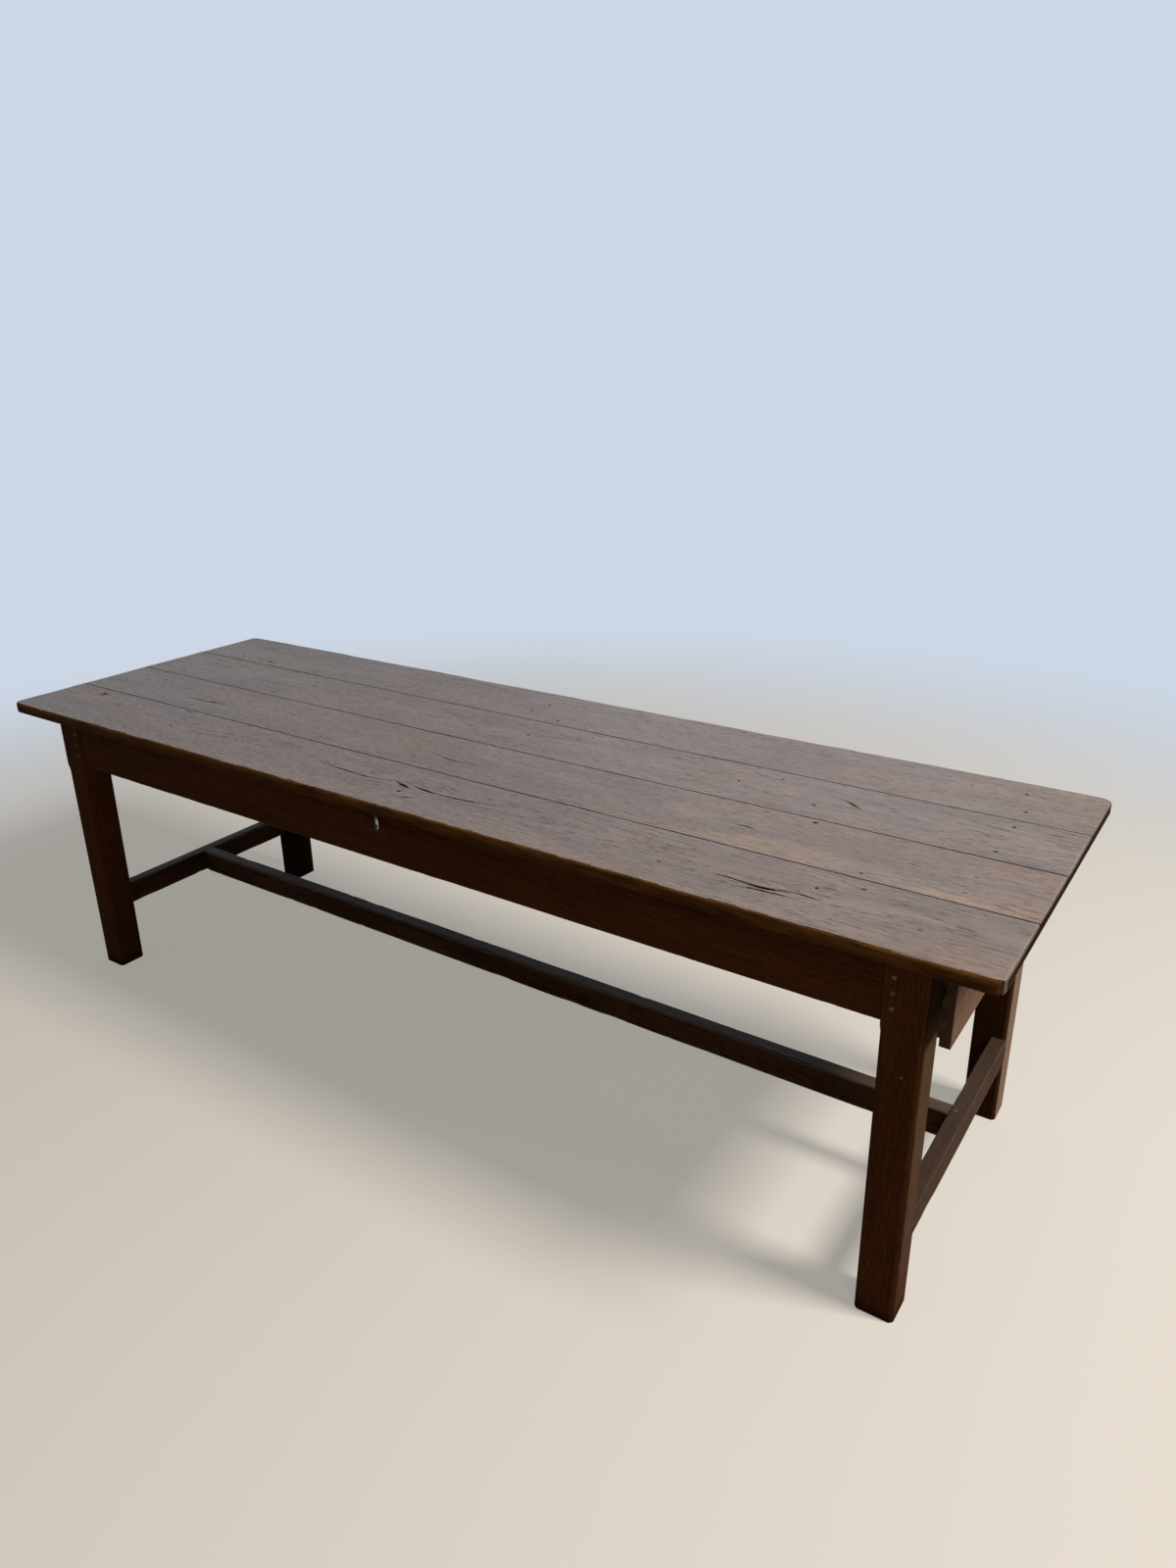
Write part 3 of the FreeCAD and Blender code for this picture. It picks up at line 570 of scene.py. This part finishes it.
def top_plank(number):
    """One plank of the top. Its upper face is a height over the plan: level, a little hollow, dropping in a
    quarter circle along the table's outline and in a smaller one along its seams, and sinking in cracks,
    dents and nail holes. The ring at each station runs along the lower face to the back and along the upper
    face to the front."""
    low, high = node_box(PLANKS[number])
    half_length, half_width = np.array(cad_box[1])[:2]
    is_front = number == 0
    is_back = number == len(PLANKS) - 1
    back = high[1] if is_back else node_box(PLANKS[number + 1])[0][1] - SEAM_GAP
    cracks = [(width * MM, depth * MM, np.array(path) * MM) for width, depth, path in CRACKS[number]]
    dents = [(x * MM, y * MM, r * MM) for x, y, r in DENTS if low[1] < y * MM < back]
    nails = [place for place in nail_places if low[1] < place[1] < back]

    spots = [(x, y, r + 2 * MM) for x, y, r in dents] + [(x, y, NAIL_RIM + 2 * MM) for x, y in nails]
    bands_x = [(x - r, x + r) for x, _, r in spots]
    bands_y = [(y - r, y + r) for _, y, r in spots]
    crack_bands = [(path[:, 1].min() - 3 * MM, path[:, 1].max() + 3 * MM) for _, _, path in cracks]
    x = grid_lines(low[0], high[0], 7 * MM, EDGE_LINES, EDGE_LINES, bands_x, 2 * MM)
    front_lines = EDGE_LINES if is_front else SEAM_LINES
    back_lines = EDGE_LINES if is_back else SEAM_LINES
    upper_y = grid_lines(low[1], back, 7 * MM, front_lines, back_lines, bands_y, 2 * MM)
    fine_y = grid_lines(low[1], back, 1.0, front_lines[:1], back_lines[:1], crack_bands, 1 * MM)
    upper_y = np.unique(np.concatenate([upper_y, fine_y]))
    upper_y = upper_y[np.append(np.diff(upper_y) > 0.12 * MM, True)]
    lower_y = grid_lines(low[1], back, 40 * MM, front_lines, back_lines)
    left_corner, right_corner = CORNER_RADII.get(PLANKS[number], (0.0, 0.0))
    corner = np.where(x > 0, right_corner, left_corner)

    def in_plan(y):
        """Grid of X and Y whose outer corners follow the worn corners of the top."""
        grid_x, grid_y = np.meshgrid(x, y, indexing="ij")
        cut = rounding(half_length - np.abs(x), corner)
        near, far = (low[1] + cut * is_front)[:, None], (back - cut * is_back)[:, None]
        return grid_x, near + (grid_y - low[1]) / (back - low[1]) * (far - near)

    def to_outline(grid_x, grid_y):
        """Distance from the top's outline, a rectangle with rounded corners, and the share by which an end
        is nearer than a side."""
        from_end = half_length - np.abs(grid_x)
        from_side = half_width - np.abs(grid_y)
        radius = corner[:, None]
        in_corner = (from_end < radius) & (from_side < radius)
        from_round = radius - np.hypot(radius - from_end, radius - from_side)
        distance = np.where(in_corner, from_round, np.minimum(from_end, from_side))
        return np.clip(distance, 0, None), fade(from_side - from_end, -END_BLEND, END_BLEND)

    gx, gy = in_plan(upper_y)
    flat = np.stack([gx, gy, np.zeros_like(gx)], axis=-1)
    edge, at_end = to_outline(gx, gy)
    uneven = 0.4 * value_noise(flat, (0.16, 0.16, 1), number) + 0.3 * value_noise(flat, 0.04, number + 5)
    arris = (SIDE_ARRIS + (END_ARRIS - SIDE_ARRIS) * at_end) * (1 + uneven)
    drop = rounding(edge, arris)
    from_seam = np.minimum(gy - low[1] + is_front, back - gy + is_back)
    seam_arris = SEAM_ARRIS * (1.2 + 0.8 * value_noise(flat, (0.09, 0.3, 1), number + 11))
    drop += rounding(from_seam, seam_arris)
    across = (gy - low[1]) / (back - low[1])
    drop += PLANK_HOLLOW * 4 * across * (1 - across)
    drop += 0.25 * MM * (1 + value_noise(flat, (0.12, 0.035, 1), number + 17))
    grime_and_shade = 1 - fade(from_seam, 0.3 * MM, 1.5 * MM)
    for width, depth, path in cracks:
        away = distance_to_path(gx, gy, path)
        taper = np.sin(math.pi * np.clip(share_along(gx, path), 0.06, 0.94)) ** 0.6
        reach = width * taper
        drop += depth * taper * np.clip(1.6 * (1 - away / (reach + 0.5 * MM)), 0, 1)
        grime_and_shade = np.maximum(grime_and_shade, taper * (1 - fade(away, 0.7 * reach, reach + 0.9 * MM)))
    for dent_x, dent_y, radius in dents:
        away = np.hypot((gx - dent_x) / 1.5, gy - dent_y)
        drop += DENT_DEPTH * (1 - fade(away, 0.2 * radius, radius))
        grime_and_shade = np.maximum(grime_and_shade, 0.9 * (1 - fade(away, 0.3 * radius, radius)))
    for nail_x, nail_y in nails:
        away = np.hypot(gx - nail_x, gy - nail_y)
        shown = nail_shown(nail_x, nail_y)
        drop += NAIL_SINK * shown * (1 - fade(away, 0.5 * NAIL_RIM, NAIL_RIM))
        grime_and_shade = np.maximum(grime_and_shade, 0.8 * shown * (1 - fade(away, 0.6 * NAIL_RIM, 1.2 * NAIL_RIM)))
    upper = np.stack([gx, gy, high[2] - drop], axis=-1)
    ragged = edge * (1 + 0.45 * value_noise(flat, 0.025, number + 23))
    upper_wear = (1 - fade(ragged, 0.8 * MM, 4.5 * MM)) * (1 - 0.6 * at_end)
    for first_x, last_x, first_y, last_y, strength in WARM_PATCHES.get(PLANKS[number], ()):
        patch_x = (2 * gx / MM - first_x - last_x) / (last_x - first_x)
        patch_y = (2 * gy / MM - first_y - last_y) / (last_y - first_y)
        upper_wear = np.maximum(upper_wear, strength * (1 - fade(np.hypot(patch_x, patch_y), 0.4, 1)))
    grime_and_shade = np.maximum(grime_and_shade, 0.8 * at_end * (1 - fade(edge, 0.4 * MM, 2.5 * MM)))

    lx, ly = in_plan(lower_y)
    lower_edge, lower_at_end = to_outline(lx, ly)
    lower = np.stack([lx, ly, low[2] + rounding(lower_edge, LOWER_ARRIS)], axis=-1)
    points = np.concatenate([lower, upper[:, ::-1]], axis=1)
    lower_rim = 1 - fade(lower_edge, 1 * MM, 6 * MM)
    wear = np.concatenate([lower_rim * (1 - 0.6 * lower_at_end), upper_wear[:, ::-1]], axis=1)
    grime_and_shade = np.concatenate([lower_rim * (0.4 + 0.4 * lower_at_end), grime_and_shade[:, ::-1]], axis=1)
    shells = [shell(points, 0, PLANK_HEARTS[number], wear, grime_and_shade)]
    if not is_back:
        middle = (low[2] + high[2]) / 2
        inset = END_ARRIS
        tongue = worn_bar(0, (low[0] + inset, back - 1 * MM, middle - TONGUE_THICKNESS / 2),
                          (high[0] - inset, back + TONGUE_BRIDGE, middle + TONGUE_THICKNESS / 2),
                          0.4 * MM, number + 30, grime_and_shade=1.0)
        shells.append(tongue)
    name = "plank_" + PLANKS[number][len("top_plank_"):]
    build(name, shells, OAK_TOP, PLANKS[number], dull=OAK_RIM)


for number in range(len(PLANKS)):
    top_plank(number)

NAIL_HEAD = np.array(((-44, 0.8), (-8, 2), (-2.4, 2), (-2.3, 3.6), (-1.5, 4), (-0.9, 3.8), (-0.55, 2.8),
                      (-0.4, 1.4), (-0.35, 0.2))) * MM
nails = []
for seed, ((x, y), (_, high)) in enumerate(zip(nail_places, nail_boxes)):
    head = (x, y, high[2] - FILLED_NAIL_DEPTH * (y < 0))
    nails.append(shell(turned(NAIL_HEAD, head, (0, 0, 1), 20, 0.05, seed), 2, (0, 0, 0)))
build("forged_nails", nails, NAIL_IRON, "top_nails")


# Legs
def leg(name):
    """One leg: a square whose corners are cut off by a chamfer, carried up from the foot. The inner faces
    lean outwards to the foot, and the chamfer grows from nothing in a curve below the block."""
    low, high = node_box(name)
    sign = np.where((low + high)[:2] > 0, 1.0, -1.0)
    outer = np.where(sign > 0, high[:2], low[:2])
    stations = grid_lines(low[2], high[2], 12 * MM, EDGE_LINES[:6], EDGE_LINES[:1],
                          [(CHAMFER_FULL - 5 * MM, CHAMFER_TOP + 5 * MM)], 1.5 * MM)
    size = LEG_FOOT + (high[0] - low[0] - LEG_FOOT) * np.clip(stations / CHAMFER_TOP, 0, 1)
    chamfer = LEG_CHAMFER + (BLOCK_CHAMFER - LEG_CHAMFER) * fade(stations, CHAMFER_FULL, CHAMFER_TOP)
    zero = np.zeros_like(size)
    far = size - chamfer
    corners = [(zero, chamfer), (chamfer, zero), (far, zero), (size, chamfer),
               (size, far), (far, size), (chamfer, size), (zero, far)]
    corners = np.moveaxis(np.array(corners), 2, 0)
    following = np.roll(corners, -1, axis=1)
    side = following - corners
    length = np.linalg.norm(side, axis=-1, keepdims=True)
    normal = np.stack([side[..., 1], -side[..., 0]], axis=-1) / length
    # The points of a side stay clear of its arrises; on a narrow side all of them move closer together
    inset = np.minimum(LEG_ARRIS / length, 0.3)
    shares = np.array([0, 0.06, 0.2, 0.4, 0.6, 0.8, 0.94, 1])
    spread = inset + (1 - 2 * inset) * shares
    share = np.where(inset >= shares[1], spread, np.clip(shares, inset, 1 - inset))[..., None]
    plan = corners[:, :, None] + share * side[:, :, None]
    height = np.broadcast_to(stations[:, None, None], plan.shape[:3])
    seed = sum(map(ord, name))
    place = np.concatenate([plan, height[..., None]], axis=-1)
    hollow = 0.5 + 0.5 * value_noise(place, (0.05, 0.05, 0.25), seed)
    plan = plan - normal[:, :, None] * (0.5 * MM * hollow)[..., None]
    foot_inset = rounding(stations, FOOT_ARRIS)[:, None, None, None]
    centre = (size / 2)[:, None, None, None]
    plan = centre + (plan - centre) * (1 - foot_inset / centre)
    across = outer - sign * plan
    points = np.concatenate([across, height[..., None]], axis=-1).reshape(len(stations), -1, 3)
    on_arris = np.broadcast_to((shares == 0) | (shares == 1), plan.shape[:3]).reshape(len(stations), -1)
    uneven = 0.5 + 0.5 * value_noise(points, (0.08, 0.08, 0.05), seed + 3)
    wear = on_arris * uneven * (1 - 0.5 * fade(points[..., 2], CHAMFER_FULL, CHAMFER_TOP))
    grime_and_shade = (1 - fade(points[..., 2] + 0.016 * value_noise(points, 0.03, seed + 7), 0, FOOT_DIRT)) * 0.7
    on_end = points[..., 0] > high[0] - 1.2 * MM
    finish, paler_for_light = OAK_FRAME, None
    if name == LEG_BESIDE_DRAWER:
        finish = OAK_DUSTY
        # A painted shadow of the overhang darkens the block's end face, down to just below the block
        painted_overhang_shadow = fade(points[..., 2], CHAMFER_FULL - 9 * MM, CHAMFER_FULL + 4 * MM)
        grime_and_shade = np.maximum(grime_and_shade, 0.9 * on_end * painted_overhang_shadow)
        # Painted shade on the chamfers beside the end face, below the block
        on_chamfer = ~on_end & (points[..., 0] > high[0] - LEG_CHAMFER + 1 * MM)
        grime_and_shade = np.maximum(grime_and_shade, CHAMFER_SHADE * on_chamfer * (points[..., 2] < CHAMFER_FULL))
        dust = 0.8 * on_end * fade(points[..., 2], 0, 0.3 * CHAMFER_FULL)
        wear = np.maximum(0.4 * wear * ~on_chamfer, dust)
    # The back legs are darkened all over with painted shade
    if name in PAINTED_SHADE_LEGS:
        grime_and_shade = np.maximum(grime_and_shade, PAINTED_SHADE_LEGS[name] + 0.2 * uneven)
    # The end face of one back leg is painted paler, with the drawer front's oak, for the light that falls on
    # it
    if name == PAINTED_LIGHT_LEG:
        paler_for_light = OAK_FACE
        grime_and_shade *= 1 - on_end
        wear = np.maximum(0.4 * wear, on_end)
    if sign.prod() < 0:
        points, wear, grime_and_shade = points[:, ::-1], wear[:, ::-1], grime_and_shade[:, ::-1]
    heart = (0.2 * sign[0], 0.09, 0.05 * sign[1])
    build(name + "_worn", [shell(points, 2, heart, wear, grime_and_shade)], finish, name, dull=paler_for_light)


for name in ("leg_front_left", "leg_front_right", "leg_back_left", "leg_back_right"):
    leg(name)


# Rails and stretchers
def frame_bar(name, axis, arris, tenon, material, seed, footrest=None):
    """A bar of the frame with its tenons; the legs' blocks, or the bars that it meets, hide the tenons. The
    upper face of a footrest is rubbed by feet; on the stretchers in shade its finish is also painted paler
    for light."""
    low, high = node_box(name)
    made = worn_bar(axis, low, high, arris, seed, tenon)
    if name == "rail_front":
        x, _, z = np.moveaxis(made["points"], -1, 0)
        aside = np.abs(x - STAIN_PLACE) + 8 * MM * line_noise(z, 9 * MM, seed)
        stained = 1 - fade(aside, 0.4 * STAIN_WIDTH, 0.6 * STAIN_WIDTH)
        made["grime_and_shade"] = 0.8 * stained * fade(z, high[2] - STAIN_DROP, high[2])
    if footrest:
        # On the long and left stretchers, which lie in shade, the upper face takes a finish painted paler as
        # light
        rubbed = fade(made["points"][..., 2], high[2] - 4 * MM, high[2] - 2 * MM)
        made["wear"] = np.maximum(made["wear"], rubbed)
    build(name + "_worn", [made], material, name, dull=footrest)


frame_bar("rail_front", 0, RAIL_ARRIS, SIDE_RAIL_TENON, OAK_FRAME, 101)
frame_bar("rail_back", 0, RAIL_ARRIS, SIDE_RAIL_TENON, OAK_FRAME, 131)
frame_bar("rail_left_end", 1, RAIL_ARRIS, END_RAIL_TENON, OAK_FRAME, 161)
frame_bar("rail_over_drawer", 1, DRAWER_RAIL_ARRIS, DRAWER_RAIL_TENON, OAK_FRAME, 191)
frame_bar("stretcher_left", 1, STRETCHER_ARRIS, END_STRETCHER_TENON, OAK_STRETCHER, 221, OAK_SCRAPED_AND_PAINTED_LIGHT)
frame_bar("stretcher_right", 1, STRETCHER_ARRIS, END_STRETCHER_TENON, OAK_STRETCHER, 251, OAK_FOOTREST)
frame_bar("stretcher_long", 0, STRETCHER_ARRIS, LONG_STRETCHER_TENON, OAK_STRETCHER, 281, OAK_SCRAPED_AND_PAINTED_LIGHT)


# Pegs and plug
def peg_rings(box, seed):
    """A square peg set diamond-wise: a rounded square along the peg's length, turned by an eighth of a turn,
    with a slightly domed head at its outer end and a blunt tip at its inner one."""
    low, high = box
    middle = (low + high) / 2
    size = high - low
    axis = int(np.argmax(size))
    side = size.min() / math.sqrt(2)
    out = 1.0 if axis == 2 or middle[axis] > 0 else -1.0
    along = np.array([0, 0.3, 0.9, 0.96, 0.985, 0.995, 1.0]) * (size[axis] - 0.5 * MM)
    inset = np.array([0.35, 0, 0, 0.02, 0.06, 0.14, 0.26]) * side
    limit = np.repeat((side / 2 - inset)[:, None], 2, axis=1)
    radius = np.repeat((0.8 * MM * (1 - inset / side))[:, None], 4, axis=1)
    rings, _, near_arris = section_rings(along, -limit, limit, radius)
    directions = np.roll(np.eye(3), -axis, axis=0)
    across = np.array([directions[1] + directions[2], directions[2] - directions[1]]) / math.sqrt(2)
    start = middle - directions[0] * out * size[axis] / 2
    points = start + rings[..., :1] * directions[0] * out + rings[..., 1:] @ across
    if out < 0:
        points = points[:, ::-1]
    return shell(points, axis, (0.1 * seed, 0.02, 0.013 * (seed % 5)), 0.6 * near_arris)


for name in ("rail_pegs", "stretcher_pegs"):
    pegs = [peg_rings(box, seed) for seed, box in enumerate(solid_boxes(name))]
    build(name + "_riven", pegs, OAK_PEG, name)

plug_low, plug_high = node_box("leg_plug")
plug_radius = (plug_high[0] - plug_low[0]) / 2
plug_depth = plug_high[1] - plug_low[1]
PLUG_PROFILE = ((0, 0.9), (0.9, 1), (0.96, 0.96), (0.985, 0.8), (0.99, 0.45), (0.985, 0.05))
plug_middle = (plug_low + plug_high) / 2
plug_profile = [(plug_depth * along, plug_radius * r) for along, r in PLUG_PROFILE]
plug_rings = turned(plug_profile, (plug_middle[0], plug_high[1], plug_middle[2]), (0, -1, 0))
PLUG_JOINT = np.array(((0,), (0.5,), (1,), (0.8,), (0.1,), (0,)))
plug = shell(plug_rings, 1, (0, 0.02, 0.02), 0.5, PLUG_JOINT)
build("plug_turned", [plug], OAK_PEG, "leg_plug")


# Iron angle and its screws
# Below the strap's upper end, where the rubbed patch begins and where it ends: each a fade from and to
RUBBED_START = (31 * MM, 39 * MM)
RUBBED_END = (57 * MM, 63 * MM)
SCREW_RISE = 1.4 * MM


def iron_strap():
    """A flat strap bent at a right angle: a rounded rectangle carried up the rail's face, round the bend and
    out under the top."""
    low, high = node_box("iron_angle")
    thickness = 3 * MM
    bend = 4 * MM
    steps = 8
    middle = (low[0] + high[0]) / 2
    half = (high[0] - low[0]) / 2
    turn = np.radians(np.linspace(0, 90, 7))[1:-1]
    upright = np.linspace(low[2], high[2] - bend, steps)
    level = np.linspace(high[1] - bend, low[1], steps)
    inner = bend - thickness / 2
    bend_y = high[1] - bend + inner * np.cos(turn)
    bend_z = high[2] - bend + inner * np.sin(turn)
    path_y = np.concatenate([np.full(steps, high[1] - thickness / 2), bend_y, level])
    path_z = np.concatenate([upright, bend_z, np.full(steps, high[2] - thickness / 2)])
    angle = np.concatenate([np.zeros(steps), turn, np.full(steps, math.pi / 2)])
    count = len(angle)
    limit = np.broadcast_to((half, thickness / 2), (count, 2))
    rings, _, _ = section_rings(np.zeros(count), -limit, limit, np.full((count, 4), 0.6 * MM))
    out = np.stack([np.zeros(count), np.cos(angle), np.sin(angle)], axis=-1)[:, None]
    path = np.stack([np.full(count, middle), path_y, path_z], axis=-1)[:, None]
    points = path + rings[..., 1:2] * np.array([1.0, 0, 0]) + rings[..., 2:] * out
    drop = high[2] - points[..., 2]
    rubbed = fade(drop, *RUBBED_START) * (1 - fade(drop, *RUBBED_END))
    rubbed *= fade(points[..., 0], middle - 4 * MM, middle)
    build("iron_angle_bent", [shell(points, 2, (0, 0, 0), rubbed)], IRON, "iron_angle")


iron_strap()
SCREW_HEAD = np.array(((-20, 0.4), (-12, 1.7), (0, 1.9), (0.05, 3.3), (0.5, 3.6), (1.0, 3.3), (1.3, 2.2),
                       (1.4, 0.2))) * MM
screws = []
for low, high in solid_boxes("angle_screws"):
    middle = (low + high) / 2
    axis = int(np.argmax(high - low))
    direction = -np.eye(3)[axis]
    head = np.where(np.arange(3) == axis, low + SCREW_RISE, middle)
    screws.append(shell(turned(SCREW_HEAD, head, direction, 20), axis, (0, 0, 0)))
build("iron_screws", screws, IRON, "angle_screws")


# Drawer
DOVETAIL_REVEAL = 0.25 * MM
FACE_DIRT = 0.28
low, high = node_box("drawer_front")
inset = np.array([0, DOVETAIL_REVEAL, 0])
board = worn_bar(1, low + inset, high - inset, 1.2 * MM, 311, end_arris=1.0 * MM, wobble=0.3 * MM,
                 heart=(0.4, 0.03, 0.11))
# The ends are dark with old polish and dirt, and the face is dry and paler, with a little dirt all over
from_end = np.minimum(high[1] - board["points"][..., 1], board["points"][..., 1] - low[1])
board["grime_and_shade"] = np.maximum(FACE_DIRT, 0.65 * (1 - fade(from_end, 0.5 * MM, 2.5 * MM)))
build("drawer_front_board", [board], OAK_FACE, "drawer_front", "drawer")
knob_low, knob_high = node_box("drawer_knob")
knob_middle = (knob_low + knob_high) / 2
knob_rings = turned(np.array(KNOB_PROFILE) * MM, (high[0], *knob_middle[1:]), (1, 0, 0), 40)
knob = shell(knob_rings, 0, (0, 0.01, 0.02))
build("drawer_knob_turned", [knob], OAK_FRAME, "drawer_knob", "drawer")

FINISHES = {
    RAW_ALONG_X: ("drawer_side_left", "drawer_side_right", "drawer_bearer_left", "drawer_bearer_right"),
    RAW_ALONG_Y: ("drawer_back", "drawer_bottom_front_board", "drawer_bottom_back_board", "drawer_stop_left",
                  "drawer_stop_right", "cross_bearer"),
    NAIL_IRON: ("drawer_nails", "bearer_nails"),
}
for material, names in FINISHES.items():
    for name in names:
        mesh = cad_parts[name].data
        mesh.materials.clear()
        mesh.materials.append(material)


# Floor, light and camera
def shown_to_rays(tree):
    """1 for rays from the camera and rays that are mirrored or let through, 0 for rays that gather light."""
    rays = add(tree, "LightPath").node
    kinds = ("Camera", "Glossy", "Transmission")
    seen, mirrored, let_through = (rays.outputs["Is %s Ray" % kind] for kind in kinds)
    shown = add(tree, "Math", {0: seen, 1: mirrored}, operation="MAXIMUM")
    return add(tree, "Math", {0: shown, 1: let_through}, operation="MAXIMUM")


def pale_floor(seen, cast, paleness, clear_from, clear_to):
    """A pale floor that keeps the shadow near the table and clears into the background further off. The
    camera sees a share of it, its paleness, at full strength. It throws a warm brown light back at the
    table, and from below it can be seen through."""
    material, tree = new_tree("pale floor")
    place = add(tree, "TexCoord", out="Object")
    away = add(tree, "VectorMath", {0: place}, "Value", operation="LENGTH")
    clear = add(tree, "MapRange", {0: away, 1: clear_from, 2: clear_to}, interpolation_type="SMOOTHSTEP")
    below = add(tree, "NewGeometry", out="Backfacing")
    clear = add(tree, "Math", {0: clear, 1: below}, operation="MAXIMUM")
    shown = shown_to_rays(tree)
    tones = {FACTOR: shown, COLOUR_A: linear(cast), COLOUR_B: linear(seen)}
    tone = add(tree, "Mix", tones, MIXED, data_type="RGBA")
    lit = add(tree, "BsdfDiffuse", {"Color": tone})
    even = add(tree, "Emission", {"Color": linear(seen), "Strength": 1.0})
    share = add(tree, "Math", {0: shown, 1: paleness}, operation="MULTIPLY")
    solid = add(tree, "MixShader", {0: share, 1: lit, 2: even})
    open_air = add(tree, "BsdfTransparent")
    surface = add(tree, "MixShader", {0: clear, 1: solid, 2: open_air})
    add(tree, "OutputMaterial", {"Surface": surface})
    reach = 1.2 * clear_to
    corners = [(-reach, -reach, 0), (reach, -reach, 0), (reach, reach, 0), (-reach, reach, 0)]
    mesh = bpy.data.meshes.new("floor")
    mesh.from_pydata(corners, [], [(0, 1, 2, 3)])
    mesh.materials.append(material)
    floor = bpy.data.objects.new("floor", mesh)
    bpy.context.scene.collection.objects.link(floor)


def surroundings(seen, cast, strength):
    """A pale background for the camera and for reflections, and a dimmer, even light from all round."""
    world = bpy.data.worlds.new("surroundings")
    world.use_nodes = True
    tree = world.node_tree
    tree.nodes.clear()
    shown = shown_to_rays(tree)
    light = add(tree, "Background", {"Color": linear(cast), "Strength": strength})
    view = add(tree, "Background", {"Color": linear(seen), "Strength": 1.0})
    add(tree, "OutputWorld", {"Surface": add(tree, "MixShader", {0: shown, 1: light, 2: view})})
    bpy.context.scene.world = world


def softbox(name, place, aim, size, power, colour):
    """A square area lamp that points from its place to its aim."""
    lamp = bpy.data.lights.new(name, "AREA")
    lamp.size = size
    lamp.energy = power
    lamp.color = linear(colour)[:3]
    box = bpy.data.objects.new(name, lamp)
    box.matrix_world = look(np.array(place), np.array(aim) - place, np.array((0, 0, 1.0)))
    bpy.context.scene.collection.objects.link(box)


def look(place, forward, up):
    """Matrix of a camera or lamp at a place that looks forward, with up as near to its Y axis as can be."""
    back = -forward / np.linalg.norm(forward)
    right = np.cross(up, back)
    right /= np.linalg.norm(right)
    matrix = np.eye(4)
    matrix[:3, 0], matrix[:3, 1], matrix[:3, 2], matrix[:3, 3] = right, np.cross(back, right), back, place
    return Matrix(matrix.tolist())


def photo_camera():
    """The photograph's camera, level at first, then turned, dipped and rolled."""
    turn, dip, roll = np.radians((CAMERA_TURN, CAMERA_DIP, CAMERA_ROLL))
    level = np.array((-math.sin(turn), math.cos(turn), 0))
    side = np.array((math.cos(turn), math.sin(turn), 0))
    forward = math.cos(dip) * level - math.sin(dip) * np.array((0, 0, 1))
    up = math.sin(dip) * level + math.cos(dip) * np.array((0, 0, 1))
    data = bpy.data.cameras.new("photo camera")
    data.sensor_width = SENSOR
    data.lens = FOCAL_PIXELS * SENSOR / IMAGE_HEIGHT
    data.clip_end = 200
    camera = bpy.data.objects.new("photo camera", data)
    camera.matrix_world = look(np.array(CAMERA_PLACE), forward, math.cos(roll) * up - math.sin(roll) * side)
    bpy.context.scene.collection.objects.link(camera)
    bpy.context.scene.camera = camera


pale_floor("#D0CBC3", "#8C7150", 0.5, 1.8, 4.2)
surroundings("#CCD6E4", "#E9EEF5", 0.16)
softbox("key light", (4.0, 0.2, 4.4), (0.6, 0, 0.5), 1.2, 400, "#FFF8EE")
softbox("fill light", (2.6, -2.7, 2.2), (0.6, 0, 0.4), 1.8, 20, "#FFEFDC")
softbox("back light", (-0.6, 3.2, 1.6), (0.2, 0, 0.3), 2.6, 9, "#DCE8F8")
photo_camera()
bpy.context.scene.view_settings.view_transform = "Standard"
